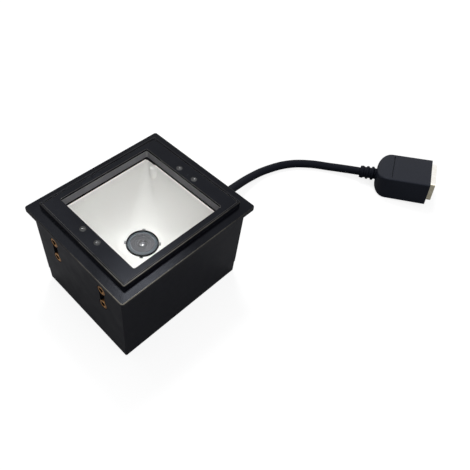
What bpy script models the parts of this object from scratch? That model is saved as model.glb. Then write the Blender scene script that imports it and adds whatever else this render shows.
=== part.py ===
"""Fixed-mount barcode scanner: a flanged housing with a window, a reflector and a camera, on a short cord with a socket.

Metres, +Z up. The origin is the centre of the housing's underside. X runs along the flange's short side, and Y along its
long side, towards the cord.
"""

import math
from dataclasses import dataclass

import bmesh
import bpy
from mathutils import Matrix, Vector
from mathutils.geometry import interpolate_bezier

# Clearances between pieces that seat on each other.
SEAT = 0.0003
CUT = 0.001

# Housing: flange, body and the rim that stands round the window.
FLANGE_X = 0.0690
FLANGE_Y = 0.0787
FLANGE_TOP = 0.0528
FLANGE_THICKNESS = 0.0024
FLANGE_CORNER = 0.0013
FLANGE_EDGE = 0.0004
FLANGE_REACH_X = 0.0037
FLANGE_REACH_Y = 0.00205
BODY_CORNER = 0.0007
BODY_FOOT = 0.0004
WALL = 0.0024
RIM_LEDGE_X = 0.00485
RIM_LEDGE_Y = 0.00515
RIM_RISE = 0.0028
RIM_WALL = 0.0009
RIM_CORNER = 0.0006
RIM_EDGE = 0.0004
SHELF_THICKNESS = 0.0042
POST = 0.0075

# Window frame, the collar below it, and the pane between the collar and the reflector.
FRAME_THICKNESS = 0.0012
FRAME_DROP = 0.0003
FRAME_EDGE = 0.0002
FRAME_BORDER_X = 0.00285
FRAME_BORDER_Y = 0.0074
OPENING_CORNER = 0.0008
COLLAR_WALL = 0.0010
COLLAR_HEIGHT = 0.0032
PANE_THICKNESS = 0.0010

# Indicator light pipes in the wide borders of the frame.
PIPE_RADIUS = 0.0016
PIPE_X = 0.0050
PIPE_INSET = 0.0049
PIPE_DISH = 0.0005
PIN_RADIUS = 0.0008
PIN_LENGTH = 0.0024

# Reflector: a square bowl that closes to a round hole above the camera.
REFLECTOR_LEDGE = 0.0007
REFLECTOR_WALL = 0.0015
REFLECTOR_BOTTOM = 0.0230
REFLECTOR_CORNER = 0.0030
REFLECTOR_FLOOR = 0.0022
REFLECTOR_BEND = 1.25
REFLECTOR_RINGS = 12
RIB_RADIUS = 0.0021
RIB_DEPTH = 0.0026
RIB_INSET = 0.0034
RIB_LENGTH = 0.0075

# Camera: ring with four tabs, stepped cover, holder and board.
LENS_RADIUS = 0.0072
LENS_RING = 0.0008
LENS_STAND = 0.0012
LENS_DEPTH = 0.0024
TAB_WIDTH = 0.0016
TAB_REACH = 0.0016
COVER_RINGS = 3
COVER_STEP = 0.0002
HOLDER_SIDE = 0.0150
HOLDER_CORNER = 0.0015
BOARD_THICKNESS = 0.0016
BOARD_STAND = 0.0040
BOARD_MARGIN = 0.0010
CHIP_SIDE = 0.0100
CHIP_HEIGHT = 0.0015

# Bottom cover and its screws.
COVER_THICKNESS = 0.0022
SCREW_RADIUS = 0.0013
SCREW_HEAD = 0.0024
SCREW_HEAD_HEIGHT = 0.0012
SCREW_BITE = 0.0080

# Slots and threaded inserts in the two long ends.
MOUNT_INSET = 0.0136
INSERT_RADIUS = 0.0024
INSERT_BORE = 0.00125
INSERT_DEPTH = 0.0050
INSERT_HIGH = 0.0412
INSERT_LOW = 0.0303
INSERT_SIDES = 14
SLOT_WIDTH = 0.0036
SLOT_HEIGHT = 0.0062
SLOT_DEPTH = 0.0040
BOSS_MARGIN = 0.0014

# Cord and the boot that leads it out of the housing.
CORD_RADIUS = 0.0025
EXIT_X = -0.0030
EXIT_HEIGHT = 0.0140
BOOT_RADIUS = 0.0044
BOOT_TIP = 0.0032
BOOT_LENGTH = 0.0090
BOOT_COLLAR = 0.0058
BOOT_COLLAR_DEPTH = 0.0020
CORD_STEP = 0.0062
CORD_SMOOTHING = 12
CORD_TURN = 0.38

# Where the socket lies: the middle of its open end's lower edge, the way it points, and how far that end is raised.
SOCKET_PLACE = (0.07207, 0.16747)
SOCKET_ANGLE = math.radians(25.7)
SOCKET_TILT = math.radians(8.4)

# The cord's route between its straight ends, as it lies in the photograph.
CORD_ROUTE = (
    (-0.0039, 0.0650, 0.0122),
    (-0.0060, 0.0760, 0.0088),
    (-0.0077, 0.0940, 0.0046),
    (-0.0062, 0.1088, 0.0028),
    (-0.0005, 0.1228, 0.0027),
    (0.0081, 0.1331, 0.0027),
    (0.0189, 0.1412, 0.0029),
)

# Socket: moulded shell, ribbed relief, and the jack in its open end.
SHELL_LENGTH = 0.0306
SHELL_WIDTH = 0.0238
SHELL_HEIGHT = 0.0155
SHELL_SHOULDER = 0.0075
SHELL_END_ROUND = 0.0032
SHELL_EDGE = 0.0008
SHELL_STEPS = 6
SHELL_GROOVE = 0.0005
SHELL_GROOVE_PLACE = 0.0195
SHELL_GROOVE_WIDTH = 0.0172
RELIEF_RADIUS = 0.0033
RELIEF_RIB = 0.0042
RELIEF_RIB_LENGTH = 0.0017
RELIEF_GAP = 0.0013
RELIEF_RIBS = 3
JACK_WIDTH = 0.0190
JACK_HEIGHT = 0.0126
JACK_RAISE = 0.0005
JACK_DEPTH = 0.0130
JACK_REACH = 0.0028
JACK_SHEET = 0.0005
JACK_CORNER = 0.0008
PORT_WIDTH = 0.0120
PORT_HEIGHT = 0.0068
PORT_DEPTH = 0.0115
PORT_RAISE = 0.0006
LATCH_WIDTH = 0.0062
LATCH_HEIGHT = 0.0022
CONTACTS = 8
CONTACT_PITCH = 0.00102
CONTACT_WIDTH = 0.00045
CONTACT_THICKNESS = 0.00035
CONTACT_LENGTH = 0.0076
CONTACT_DROP = 0.0026

CORNER_STEPS = 6
ROUND_SIDES = 32


@dataclass(frozen=True)
class Finish:
    """Colour and surface of one material."""

    colour: tuple
    roughness: float
    metallic: float = 0.0
    transmission: float = 0.0


HOUSING_PLASTIC = Finish((0.020, 0.020, 0.022), 0.55)
FRAME_PLASTIC = Finish((0.022, 0.023, 0.026), 0.50)
COLLAR_PLASTIC = Finish((0.085, 0.085, 0.088), 0.60)
CLEAR_PANE = Finish((0.95, 0.96, 0.96), 0.03, transmission=1.0)
PIPE_PLASTIC = Finish((0.10, 0.10, 0.10), 0.25)
WHITE_PLASTIC = Finish((0.80, 0.80, 0.78), 0.45)
LENS_PLASTIC = Finish((0.010, 0.010, 0.011), 0.40)
SMOKED_PLASTIC = Finish((0.060, 0.066, 0.075), 0.20)
BRASS = Finish((0.55, 0.30, 0.11), 0.30, 1.0)
STEEL = Finish((0.45, 0.45, 0.46), 0.35, 1.0)
BOARD_GREEN = Finish((0.010, 0.090, 0.040), 0.50)
CHIP_BLACK = Finish((0.012, 0.012, 0.013), 0.60)
CORD_SHEATH = Finish((0.012, 0.012, 0.016), 0.50)
SOCKET_PLASTIC = Finish((0.020, 0.021, 0.025), 0.55)
JACK_PLATING = Finish((0.80, 0.72, 0.55), 0.30, 1.0)
JACK_PLASTIC = Finish((0.030, 0.030, 0.032), 0.50)
CONTACT_GOLD = Finish((0.83, 0.58, 0.22), 0.25, 1.0)


def clear_scene():
    for obj in list(bpy.data.objects):
        bpy.data.objects.remove(obj, do_unlink=True)


def material(name, finish):
    made = bpy.data.materials.new(name)
    made.use_nodes = True
    shader = made.node_tree.nodes["Principled BSDF"]
    shader.inputs["Base Color"].default_value = (*finish.colour, 1.0)
    shader.inputs["Roughness"].default_value = finish.roughness
    shader.inputs["Metallic"].default_value = finish.metallic
    shader.inputs["Transmission Weight"].default_value = finish.transmission
    return made


def place_mesh(name, mesh, finish, matrix=None):
    """One object of a bmesh, shaded smooth with sharp edges kept."""
    bmesh.ops.recalc_face_normals(mesh, faces=mesh.faces)
    data = bpy.data.meshes.new(name)
    mesh.to_mesh(data)
    mesh.free()
    data.shade_smooth()
    data.set_sharp_from_angle(angle=math.radians(35))
    obj = bpy.data.objects.new(name, data)
    if finish is not None:
        data.materials.append(material(name, finish))
    if matrix is not None:
        obj.matrix_world = matrix
    bpy.context.scene.collection.objects.link(obj)
    return obj


def helper(name, mesh, matrix=None):
    """A shape that only cuts or joins: it never renders."""
    obj = place_mesh(name, mesh, None, matrix)
    obj.hide_render = True
    obj.display_type = "WIRE"
    return obj


def combine(target, tool, operation):
    modifier = target.modifiers.new(tool.name, "BOOLEAN")
    modifier.operation = operation
    modifier.solver = "EXACT"
    modifier.object = tool


def rounded_rectangle(half_x, half_y, radius, z=0.0, steps=CORNER_STEPS):
    """Points anticlockwise round a rectangle whose corners are arcs; a radius of half its side gives a circle."""
    radius = min(radius, half_x, half_y)
    points = []
    for corner, (sx, sy) in enumerate(((1, 1), (-1, 1), (-1, -1), (1, -1))):
        for step in range(steps + 1):
            angle = (corner + step / steps) * math.pi / 2
            x = sx * (half_x - radius) + radius * math.cos(angle)
            y = sy * (half_y - radius) + radius * math.sin(angle)
            points.append(Vector((x, y, z)))
    return points


def circle(radius, z=0.0, sides=ROUND_SIDES):
    turns = (2 * math.pi * k / sides for k in range(sides))
    return [Vector((radius * math.cos(t), radius * math.sin(t), z)) for t in turns]


def stack(rings, closed=False):
    """A mesh through rings of equally many points: capped at both ends, or closed round on itself."""
    mesh = bmesh.new()
    rows = [[mesh.verts.new(point) for point in ring] for ring in rings]
    pairs = list(zip(rows, rows[1:]))
    if closed:
        pairs.append((rows[-1], rows[0]))
    for lower, upper in pairs:
        for k in range(len(lower)):
            after = (k + 1) % len(lower)
            mesh.faces.new((lower[k], lower[after], upper[after], upper[k]))
    if not closed:
        mesh.faces.new(rows[0][::-1])
        mesh.faces.new(rows[-1])
    return mesh


def turned(profile, sides=ROUND_SIDES):
    """A solid of rings (radius, z) about Z, from its lower cap to its upper cap."""
    return stack([circle(radius, z, sides) for radius, z in profile])


def turned_tube(profile, sides=ROUND_SIDES):
    """A solid of rings (radius, z) about Z that closes on itself, such as a tube."""
    return stack([circle(radius, z, sides) for radius, z in profile], closed=True)


def block(half_x, half_y, low, high, corner=0.0, steps=CORNER_STEPS):
    if corner:
        return stack([rounded_rectangle(half_x, half_y, corner, z, steps) for z in (low, high)])
    square = [Vector((sx * half_x, sy * half_y, 0)) for sx, sy in ((1, 1), (-1, 1), (-1, -1), (1, -1))]
    return stack([[point + Vector((0, 0, z)) for point in square] for z in (low, high)])


def at(x, y, z):
    return Matrix.Translation((x, y, z))


def facing_y(x, y, z, side):
    """A frame whose +Z points out of the long end on that side, with its +Y up."""
    turn = Matrix.Rotation(math.pi, 4, "Z") if side > 0 else Matrix.Identity(4)
    return at(x, y, z) @ turn @ Matrix.Rotation(math.pi / 2, 4, "X")


# Lengths and heights that follow from the sizes above.
BODY_X = FLANGE_X - 2 * FLANGE_REACH_X
BODY_Y = FLANGE_Y - 2 * FLANGE_REACH_Y
RIM_X = FLANGE_X - 2 * RIM_LEDGE_X
RIM_Y = FLANGE_Y - 2 * RIM_LEDGE_Y
RIM_TOP = FLANGE_TOP + RIM_RISE
FRAME_TOP = RIM_TOP - FRAME_DROP
FRAME_BOTTOM = FRAME_TOP - FRAME_THICKNESS
POCKET_FLOOR = FRAME_BOTTOM - SEAT
POCKET_X = RIM_X / 2 - RIM_WALL
POCKET_Y = RIM_Y / 2 - RIM_WALL
PIPE_Y = POCKET_Y - PIPE_INSET
OPENING_X = POCKET_X - SEAT - FRAME_BORDER_X
OPENING_Y = POCKET_Y - SEAT - FRAME_BORDER_Y
MOUNT_X = BODY_X / 2 - MOUNT_INSET
COLLAR_TOP = POCKET_FLOOR
COLLAR_BOTTOM = COLLAR_TOP - COLLAR_HEIGHT
COLLAR_X = OPENING_X + COLLAR_WALL
COLLAR_Y = OPENING_Y + COLLAR_WALL
WELL_X = COLLAR_X + SEAT
WELL_Y = COLLAR_Y + SEAT
PANE_TOP = COLLAR_BOTTOM - SEAT
PANE_BOTTOM = PANE_TOP - PANE_THICKNESS
REFLECTOR_TOP = PANE_BOTTOM - SEAT
SHELF_BOTTOM = FLANGE_TOP - SHELF_THICKNESS
CAVITY_X = BODY_X / 2 - WALL
CAVITY_Y = BODY_Y / 2 - WALL
LENS_HOLE = LENS_RADIUS + LENS_RING + SEAT
LENS_TOP = REFLECTOR_BOTTOM + REFLECTOR_WALL + SEAT + LENS_STAND
COVER_TOP = COVER_THICKNESS
BOARD_BOTTOM = COVER_TOP + BOARD_STAND
BOARD_TOP = BOARD_BOTTOM + BOARD_THICKNESS
POST_BOTTOM = BOARD_TOP + SEAT
POST_X = CAVITY_X - POST / 2
POST_Y = CAVITY_Y - POST / 2
SLOT_MIDDLE = (INSERT_HIGH + INSERT_LOW) / 2


def housing():
    """The moulded tub: walls, flange and rim in one shell that is open above and below."""
    outer = [
        (BODY_X / 2 - BODY_FOOT, BODY_Y / 2 - BODY_FOOT, BODY_CORNER, 0.0),
        (BODY_X / 2, BODY_Y / 2, BODY_CORNER, BODY_FOOT),
        (BODY_X / 2, BODY_Y / 2, BODY_CORNER, FLANGE_TOP - FLANGE_THICKNESS),
        (FLANGE_X / 2, FLANGE_Y / 2, FLANGE_CORNER, FLANGE_TOP - FLANGE_THICKNESS),
        (FLANGE_X / 2, FLANGE_Y / 2, FLANGE_CORNER, FLANGE_TOP - FLANGE_EDGE),
        (FLANGE_X / 2 - FLANGE_EDGE, FLANGE_Y / 2 - FLANGE_EDGE, FLANGE_CORNER, FLANGE_TOP),
        (RIM_X / 2, RIM_Y / 2, RIM_CORNER, FLANGE_TOP),
        (RIM_X / 2, RIM_Y / 2, RIM_CORNER, RIM_TOP - RIM_EDGE),
        (RIM_X / 2 - RIM_EDGE, RIM_Y / 2 - RIM_EDGE, RIM_CORNER, RIM_TOP),
    ]
    inner = [
        (POCKET_X, POCKET_Y, RIM_CORNER, RIM_TOP),
        (POCKET_X, POCKET_Y, RIM_CORNER, POCKET_FLOOR),
        (WELL_X, WELL_Y, RIM_CORNER, POCKET_FLOOR),
        (WELL_X, WELL_Y, RIM_CORNER, SHELF_BOTTOM),
        (CAVITY_X, CAVITY_Y, RIM_CORNER, SHELF_BOTTOM),
        (CAVITY_X, CAVITY_Y, RIM_CORNER, 0.0),
    ]
    tub = stack([rounded_rectangle(*ring) for ring in outer + inner], closed=True)
    body = place_mesh("housing", tub, HOUSING_PLASTIC)
    add_posts(body)
    add_bosses(body)
    cut_mount_recesses(body)
    cut_pipe_holes(body)
    cut_cord_hole(body)
    return body


def add_posts(body):
    """Corner posts that carry the board and take the cover's screws."""
    for name, x, y in corner_places(POST_X, POST_Y):
        sunk = WALL / 2
        mesh = block(POST / 2 + sunk, POST / 2 + sunk, POST_BOTTOM, SHELF_BOTTOM + CUT)
        place = at(x + math.copysign(sunk, x), y + math.copysign(sunk, y), 0)
        combine(body, helper(f"post_{name}_form", mesh, place), "UNION")
        bore = turned([(SCREW_RADIUS + SEAT, POST_BOTTOM - CUT), (SCREW_RADIUS + SEAT, screw_tip() + SEAT)], 16)
        combine(body, helper(f"post_{name}_bore", bore, at(x, y, 0)), "DIFFERENCE")


def add_bosses(body):
    """Thick places behind the inserts and slots, on the inside of the two ends."""
    depth = max(INSERT_DEPTH, SLOT_DEPTH) + BOSS_MARGIN
    low = INSERT_LOW - INSERT_RADIUS - BOSS_MARGIN
    high = INSERT_HIGH + INSERT_RADIUS + BOSS_MARGIN
    for side, x, name in mount_places():
        half = depth / 2 - WALL / 4
        mesh = block(INSERT_RADIUS + BOSS_MARGIN, half, low, high)
        middle = side * (BODY_Y / 2 - WALL / 2 - half)
        combine(body, helper(f"boss_{name}_form", mesh, at(x, middle, 0)), "UNION")


def mount_places():
    """(side, x, name) of each group of two inserts and a slot."""
    for side, end in ((-1, "front"), (1, "back")):
        for x, hand in ((-MOUNT_X, "left"), (MOUNT_X, "right")):
            yield side, x, f"{end}_{hand}"


def corner_places(x, y):
    """(name, x, y) of the four corners."""
    for sx, hand in ((-1, "left"), (1, "right")):
        for sy, end in ((-1, "front"), (1, "back")):
            yield f"{end}_{hand}", sx * x, sy * y


def cut_mount_recesses(body):
    for side, x, name in mount_places():
        for z, level in ((INSERT_HIGH, "high"), (INSERT_LOW, "low")):
            radius = INSERT_RADIUS + SEAT
            hole = turned([(radius, -INSERT_DEPTH - SEAT), (radius, CUT)], INSERT_SIDES)
            place = facing_y(x, side * BODY_Y / 2, z, side)
            combine(body, helper(f"insert_{name}_{level}_hole", hole, place), "DIFFERENCE")
        slot = block(SLOT_WIDTH / 2, SLOT_HEIGHT / 2, -SLOT_DEPTH, CUT)
        place = facing_y(x, side * BODY_Y / 2, SLOT_MIDDLE, side)
        combine(body, helper(f"slot_{name}_cut", slot, place), "DIFFERENCE")


def cut_pipe_holes(body):
    for name, x, y in corner_places(PIPE_X, PIPE_Y):
        radius = PIN_RADIUS + SEAT
        hole = turned([(radius, pin_bottom() - SEAT), (radius, POCKET_FLOOR + CUT)], 16)
        combine(body, helper(f"pipe_{name}_hole", hole, at(x, y, 0)), "DIFFERENCE")


def cut_cord_hole(body):
    hole = turned([(BOOT_RADIUS + SEAT, -WALL - CUT), (BOOT_RADIUS + SEAT, CUT)])
    place = facing_y(EXIT_X, BODY_Y / 2, EXIT_HEIGHT, 1)
    combine(body, helper("cord_hole", hole, place), "DIFFERENCE")


def window_frame():
    """The black plate that fills the rim, with the window's opening and four holes for the light pipes."""
    half_x = POCKET_X - SEAT
    half_y = POCKET_Y - SEAT
    corner = RIM_CORNER - SEAT
    rings = [
        (half_x, half_y, corner, FRAME_BOTTOM),
        (half_x, half_y, corner, FRAME_TOP - FRAME_EDGE),
        (half_x - FRAME_EDGE, half_y - FRAME_EDGE, corner, FRAME_TOP),
        (OPENING_X + FRAME_EDGE, OPENING_Y + FRAME_EDGE, OPENING_CORNER, FRAME_TOP),
        (OPENING_X, OPENING_Y, OPENING_CORNER, FRAME_TOP - FRAME_EDGE),
        (OPENING_X, OPENING_Y, OPENING_CORNER, FRAME_BOTTOM),
    ]
    mesh = stack([rounded_rectangle(*ring) for ring in rings], closed=True)
    plate = place_mesh("window_frame", mesh, FRAME_PLASTIC)
    for name, x, y in corner_places(PIPE_X, PIPE_Y):
        radius = PIPE_RADIUS + SEAT
        hole = turned([(radius, FRAME_BOTTOM - CUT), (radius, FRAME_TOP + CUT)], 20)
        combine(plate, helper(f"frame_{name}_hole", hole, at(x, y, 0)), "DIFFERENCE")


def window_collar():
    """The grey collar between the frame and the pane."""
    rings = [
        (COLLAR_X, COLLAR_Y, RIM_CORNER, COLLAR_BOTTOM),
        (COLLAR_X, COLLAR_Y, RIM_CORNER, COLLAR_TOP),
        (OPENING_X, OPENING_Y, OPENING_CORNER, COLLAR_TOP),
        (OPENING_X, OPENING_Y, OPENING_CORNER, COLLAR_BOTTOM),
    ]
    mesh = stack([rounded_rectangle(*ring) for ring in rings], closed=True)
    place_mesh("window_collar", mesh, COLLAR_PLASTIC)


def window_pane():
    """The clear pane, held between the collar and the reflector's rim."""
    mesh = block(COLLAR_X, COLLAR_Y, PANE_BOTTOM, PANE_TOP, RIM_CORNER)
    place_mesh("window_pane", mesh, CLEAR_PANE)


def pin_bottom():
    return FRAME_BOTTOM - PIN_LENGTH


def light_pipes():
    """Four dished light pipes, flush with the frame, each on a pin that goes down into the shelf."""
    top = FRAME_TOP - SEAT
    for name, x, y in corner_places(PIPE_X, PIPE_Y):
        profile = [
            (PIN_RADIUS, pin_bottom()),
            (PIN_RADIUS, FRAME_BOTTOM),
            (PIPE_RADIUS, FRAME_BOTTOM),
            (PIPE_RADIUS, top),
            (PIPE_RADIUS * 0.8, top - PIPE_DISH * 0.15),
            (PIPE_RADIUS * 0.5, top - PIPE_DISH * 0.75),
            (PIPE_RADIUS * 0.2, top - PIPE_DISH),
        ]
        place_mesh(f"light_pipe_{name}", turned(profile, 20), PIPE_PLASTIC, at(x, y, 0))


def bowl_ring(turn, offset, z_offset):
    """One ring of the reflector's wall; turn runs from 0 at the rim to 1 at the floor."""
    floor = LENS_HOLE + REFLECTOR_FLOOR
    across = math.cos(turn * math.pi / 2) ** REFLECTOR_BEND
    down = math.sin(turn * math.pi / 2) ** REFLECTOR_BEND
    half_x = floor + (OPENING_X - REFLECTOR_LEDGE - floor) * across
    half_y = floor + (OPENING_Y - REFLECTOR_LEDGE - floor) * across
    corner = REFLECTOR_CORNER + (min(half_x, half_y) - REFLECTOR_CORNER) * turn**0.7
    low = REFLECTOR_BOTTOM + REFLECTOR_WALL
    z = REFLECTOR_TOP - (REFLECTOR_TOP - low) * down
    return half_x + offset, half_y + offset, corner + offset, z + z_offset


def reflector():
    """The white bowl: its wall bends from the straight-sided rim down to a flat floor with a round hole."""
    turns = [k / REFLECTOR_RINGS for k in range(REFLECTOR_RINGS + 1)]
    inside = [bowl_ring(turn, 0.0, 0.0) for turn in turns]
    outside = [bowl_ring(turn, REFLECTOR_WALL, -REFLECTOR_WALL * turn) for turn in turns]
    floor_top = REFLECTOR_BOTTOM + REFLECTOR_WALL
    rings = inside
    rings = rings + [(LENS_HOLE, LENS_HOLE, LENS_HOLE, floor_top)]
    rings = rings + [(LENS_HOLE, LENS_HOLE, LENS_HOLE, REFLECTOR_BOTTOM)]
    rings = rings + outside[:1:-1]
    rings = rings + [(outside[1][0], outside[1][1], REFLECTOR_CORNER, REFLECTOR_TOP - REFLECTOR_WALL)]
    rings = rings + [(COLLAR_X, COLLAR_Y, RIM_CORNER, REFLECTOR_TOP - REFLECTOR_WALL)]
    rings = rings + [(COLLAR_X, COLLAR_Y, RIM_CORNER, REFLECTOR_TOP)]
    mesh = stack([rounded_rectangle(*ring, steps=8) for ring in rings], closed=True)
    bowl = place_mesh("reflector", mesh, WHITE_PLASTIC)
    rib_end = [(RIB_RADIUS * math.cos(a), -RIB_RADIUS * math.sin(a)) for a in (1.4, 1.0, 0.5, 0.0)]
    profile = [(radius, z - RIB_LENGTH + RIB_RADIUS) for radius, z in rib_end] + [(RIB_RADIUS, 0.0)]
    rib = turned(profile, 16)
    rib_y = COLLAR_Y - RIB_DEPTH / 2 - SEAT / 2
    flat = Matrix.Diagonal((1, RIB_DEPTH / (2 * RIB_RADIUS), 1, 1))
    place = at(RIB_INSET - OPENING_X, rib_y, REFLECTOR_TOP - SEAT) @ flat
    combine(bowl, helper("reflector_rib_form", rib, place), "UNION")


def lens_ring():
    """The black ring round the camera's cover, with a tab on each diagonal that rests on the reflector."""
    outer = LENS_RADIUS + LENS_RING
    rings = [
        (outer, LENS_TOP - LENS_DEPTH),
        (outer, LENS_TOP - LENS_RING / 3),
        (outer - LENS_RING / 3, LENS_TOP),
        (LENS_RADIUS, LENS_TOP),
        (LENS_RADIUS, LENS_TOP - LENS_DEPTH),
    ]
    ring = place_mesh("lens_ring", turned_tube(rings, 36), LENS_PLASTIC)
    for k in range(4):
        angle = math.pi / 4 + k * math.pi / 2
        middle = outer + TAB_REACH / 2 - LENS_RING / 4
        tab = block(TAB_REACH / 2 + LENS_RING / 4, TAB_WIDTH / 2, LENS_TOP - LENS_STAND, LENS_TOP - LENS_RING / 2)
        place = Matrix.Rotation(angle, 4, "Z") @ at(middle, 0, 0)
        combine(ring, helper(f"lens_tab_{k + 1}_form", tab, place), "UNION")


def lens_cover():
    """The smoked cover of the camera, stepped in rings towards its middle."""
    outer = LENS_RADIUS - SEAT
    top = LENS_TOP - LENS_RING / 3
    profile = [(outer, LENS_TOP - LENS_DEPTH), (outer, top)]
    for k in range(1, COVER_RINGS + 1):
        radius = outer * (1 - k / (COVER_RINGS + 1))
        profile.append((radius, top - (k - 1) * COVER_STEP))
        profile.append((radius - COVER_STEP, top - k * COVER_STEP))
    place_mesh("lens_cover", turned(profile, 36), SMOKED_PLASTIC)


def camera():
    """The holder below the lens, the board that carries it, and the board's processor."""
    base = BOARD_TOP + SEAT
    head = LENS_TOP - LENS_DEPTH - SEAT
    neck = LENS_HOLE - SEAT
    shoulder = REFLECTOR_BOTTOM - SEAT - CUT
    rings = [
        (HOLDER_SIDE / 2, HOLDER_SIDE / 2, HOLDER_CORNER, base),
        (HOLDER_SIDE / 2, HOLDER_SIDE / 2, HOLDER_CORNER, base + (shoulder - base) * 0.6),
        (neck, neck, neck, shoulder),
        (neck, neck, neck, head),
    ]
    holder = stack([rounded_rectangle(*ring) for ring in rings])
    place_mesh("camera_holder", holder, LENS_PLASTIC)
    half_x = CAVITY_X - BOARD_MARGIN
    half_y = CAVITY_Y - BOARD_MARGIN
    board = place_mesh("main_board", block(half_x, half_y, BOARD_BOTTOM, BOARD_TOP), BOARD_GREEN)
    for name, x, y in corner_places(POST_X, POST_Y):
        hole = turned([(SCREW_RADIUS + SEAT, BOARD_BOTTOM - CUT), (SCREW_RADIUS + SEAT, BOARD_TOP + CUT)], 16)
        combine(board, helper(f"board_{name}_hole", hole, at(x, y, 0)), "DIFFERENCE")
    chip = block(CHIP_SIDE / 2, CHIP_SIDE / 2, base, base + CHIP_HEIGHT)
    place_mesh("processor", chip, CHIP_BLACK, at(0, (HOLDER_SIDE / 2 + half_y) / 2, 0))


def screw_tip():
    return BOARD_TOP + SCREW_BITE


def bottom_cover():
    """The plate that closes the tub, with spacers up to the board and its four screws."""
    half_x = CAVITY_X - SEAT
    half_y = CAVITY_Y - SEAT
    cover = place_mesh("bottom_cover", block(half_x, half_y, 0.0, COVER_TOP, RIM_CORNER - SEAT), HOUSING_PLASTIC)
    for name, x, y in corner_places(POST_X, POST_Y):
        spacer = turned([(POST / 2 - SEAT, COVER_TOP - CUT), (POST / 2 - SEAT, BOARD_BOTTOM - SEAT)], 20)
        combine(cover, helper(f"spacer_{name}_form", spacer, at(x, y, 0)), "UNION")
        seat = SCREW_HEAD_HEIGHT + SEAT
        bore = turned([
            (SCREW_HEAD + SEAT, -CUT),
            (SCREW_HEAD + SEAT, seat),
            (SCREW_RADIUS + SEAT, seat),
            (SCREW_RADIUS + SEAT, BOARD_BOTTOM + CUT),
        ], 20)
        combine(cover, helper(f"cover_{name}_bore", bore, at(x, y, 0)), "DIFFERENCE")
        profile = [
            (SCREW_HEAD * 0.92, 0.0002),
            (SCREW_HEAD, 0.0004),
            (SCREW_HEAD, SCREW_HEAD_HEIGHT),
            (SCREW_RADIUS, SCREW_HEAD_HEIGHT),
            (SCREW_RADIUS, screw_tip() - SCREW_RADIUS),
            (SCREW_RADIUS / 2, screw_tip()),
        ]
        place_mesh(f"cover_screw_{name}", turned(profile, 20), STEEL, at(x, y, 0))


def brass_inserts():
    """Threaded inserts, flush with the wall, with a chamfered bore and a groove between two collars."""
    waist = INSERT_RADIUS * 0.88
    for side, x, name in mount_places():
        for z, level in ((INSERT_HIGH, "high"), (INSERT_LOW, "low")):
            profile = [
                (INSERT_BORE, -INSERT_DEPTH),
                (INSERT_RADIUS, -INSERT_DEPTH),
                (INSERT_RADIUS, -INSERT_DEPTH * 0.66),
                (waist, -INSERT_DEPTH * 0.60),
                (waist, -INSERT_DEPTH * 0.40),
                (INSERT_RADIUS, -INSERT_DEPTH * 0.34),
                (INSERT_RADIUS, -SEAT),
                (INSERT_BORE * 1.3, -SEAT),
                (INSERT_BORE, -SEAT - INSERT_BORE * 0.3),
            ]
            place = facing_y(x, side * BODY_Y / 2, z, side)
            place_mesh(f"insert_{name}_{level}", turned_tube(profile, INSERT_SIDES), BRASS, place)


def cord_boot():
    """The rubber boot: a collar inside the wall, a neck through it and a ribbed taper outside."""
    inside = -WALL - SEAT
    profile = [
        (BOOT_COLLAR * 0.9, inside - BOOT_COLLAR_DEPTH),
        (BOOT_COLLAR, inside - BOOT_COLLAR_DEPTH * 0.7),
        (BOOT_COLLAR, inside),
        (BOOT_RADIUS, inside),
        (BOOT_RADIUS, SEAT),
        (BOOT_COLLAR, SEAT),
        (BOOT_COLLAR, BOOT_LENGTH * 0.16),
        (BOOT_RADIUS, BOOT_LENGTH * 0.24),
    ]
    for k in range(3):
        start = 0.36 + 0.2 * k
        radius = BOOT_RADIUS + (BOOT_TIP - BOOT_RADIUS) * (start + 0.1)
        neck = radius * 0.86
        profile.append((neck, BOOT_LENGTH * start))
        profile.append((radius, BOOT_LENGTH * (start + 0.04)))
        profile.append((radius, BOOT_LENGTH * (start + 0.12)))
        profile.append((neck, BOOT_LENGTH * (start + 0.16)))
    profile.append((BOOT_TIP, BOOT_LENGTH))
    place_mesh("cord_boot", turned(profile, 20), CORD_SHEATH, facing_y(EXIT_X, BODY_Y / 2, EXIT_HEIGHT, 1))


def shell_stations():
    """(place along the shell, how much narrower, how much lower) at each ring from the cord's end."""
    for k in range(SHELL_STEPS + 1):
        turn = k / SHELL_STEPS * math.pi / 2
        along = -SHELL_LENGTH + SHELL_SHOULDER * (1 - math.cos(turn))
        yield along, SHELL_SHOULDER * (1 - math.sin(turn)), SHELL_END_ROUND * (1 - math.sin(turn))
    yield 0.0, 0.0, 0.0


def socket_lift():
    """How high the open end's lower edge stands when the round end rests on the floor."""
    rise, level = math.sin(SOCKET_TILT), math.cos(SOCKET_TILT)
    return -min(along * rise + drop * level for along, _, drop in shell_stations())


def socket_frame():
    """+X out of the socket's open end, +Z up from its lower face, with its origin at that end's lower edge."""
    turn = Matrix.Rotation(SOCKET_ANGLE, 4, "Z") @ Matrix.Rotation(-SOCKET_TILT, 4, "Y")
    return at(*SOCKET_PLACE, socket_lift()) @ turn


def along_socket(x, z):
    """A frame on the socket's axis whose +Z points out of its open end, with its +X up."""
    turn = Matrix(((0, 0, 1, 0), (0, -1, 0, 0), (1, 0, 0, 0), (0, 0, 0, 1)))
    return socket_frame() @ at(x, 0, z) @ turn


def relief_length():
    return RELIEF_RIBS * (RELIEF_RIB_LENGTH + RELIEF_GAP)


def cord_ends():
    """(start, its way out, end, its way back) of the cord's axis."""
    start = Vector((EXIT_X, BODY_Y / 2 + BOOT_LENGTH + SEAT, EXIT_HEIGHT))
    back = -relief_length() - SEAT - SHELL_LENGTH
    frame = socket_frame()
    end = frame @ Vector((back, 0, SHELL_HEIGHT / 2))
    return start, Vector((0, 1, 0)), end, -(frame.to_3x3() @ Vector((1, 0, 0)))


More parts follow.
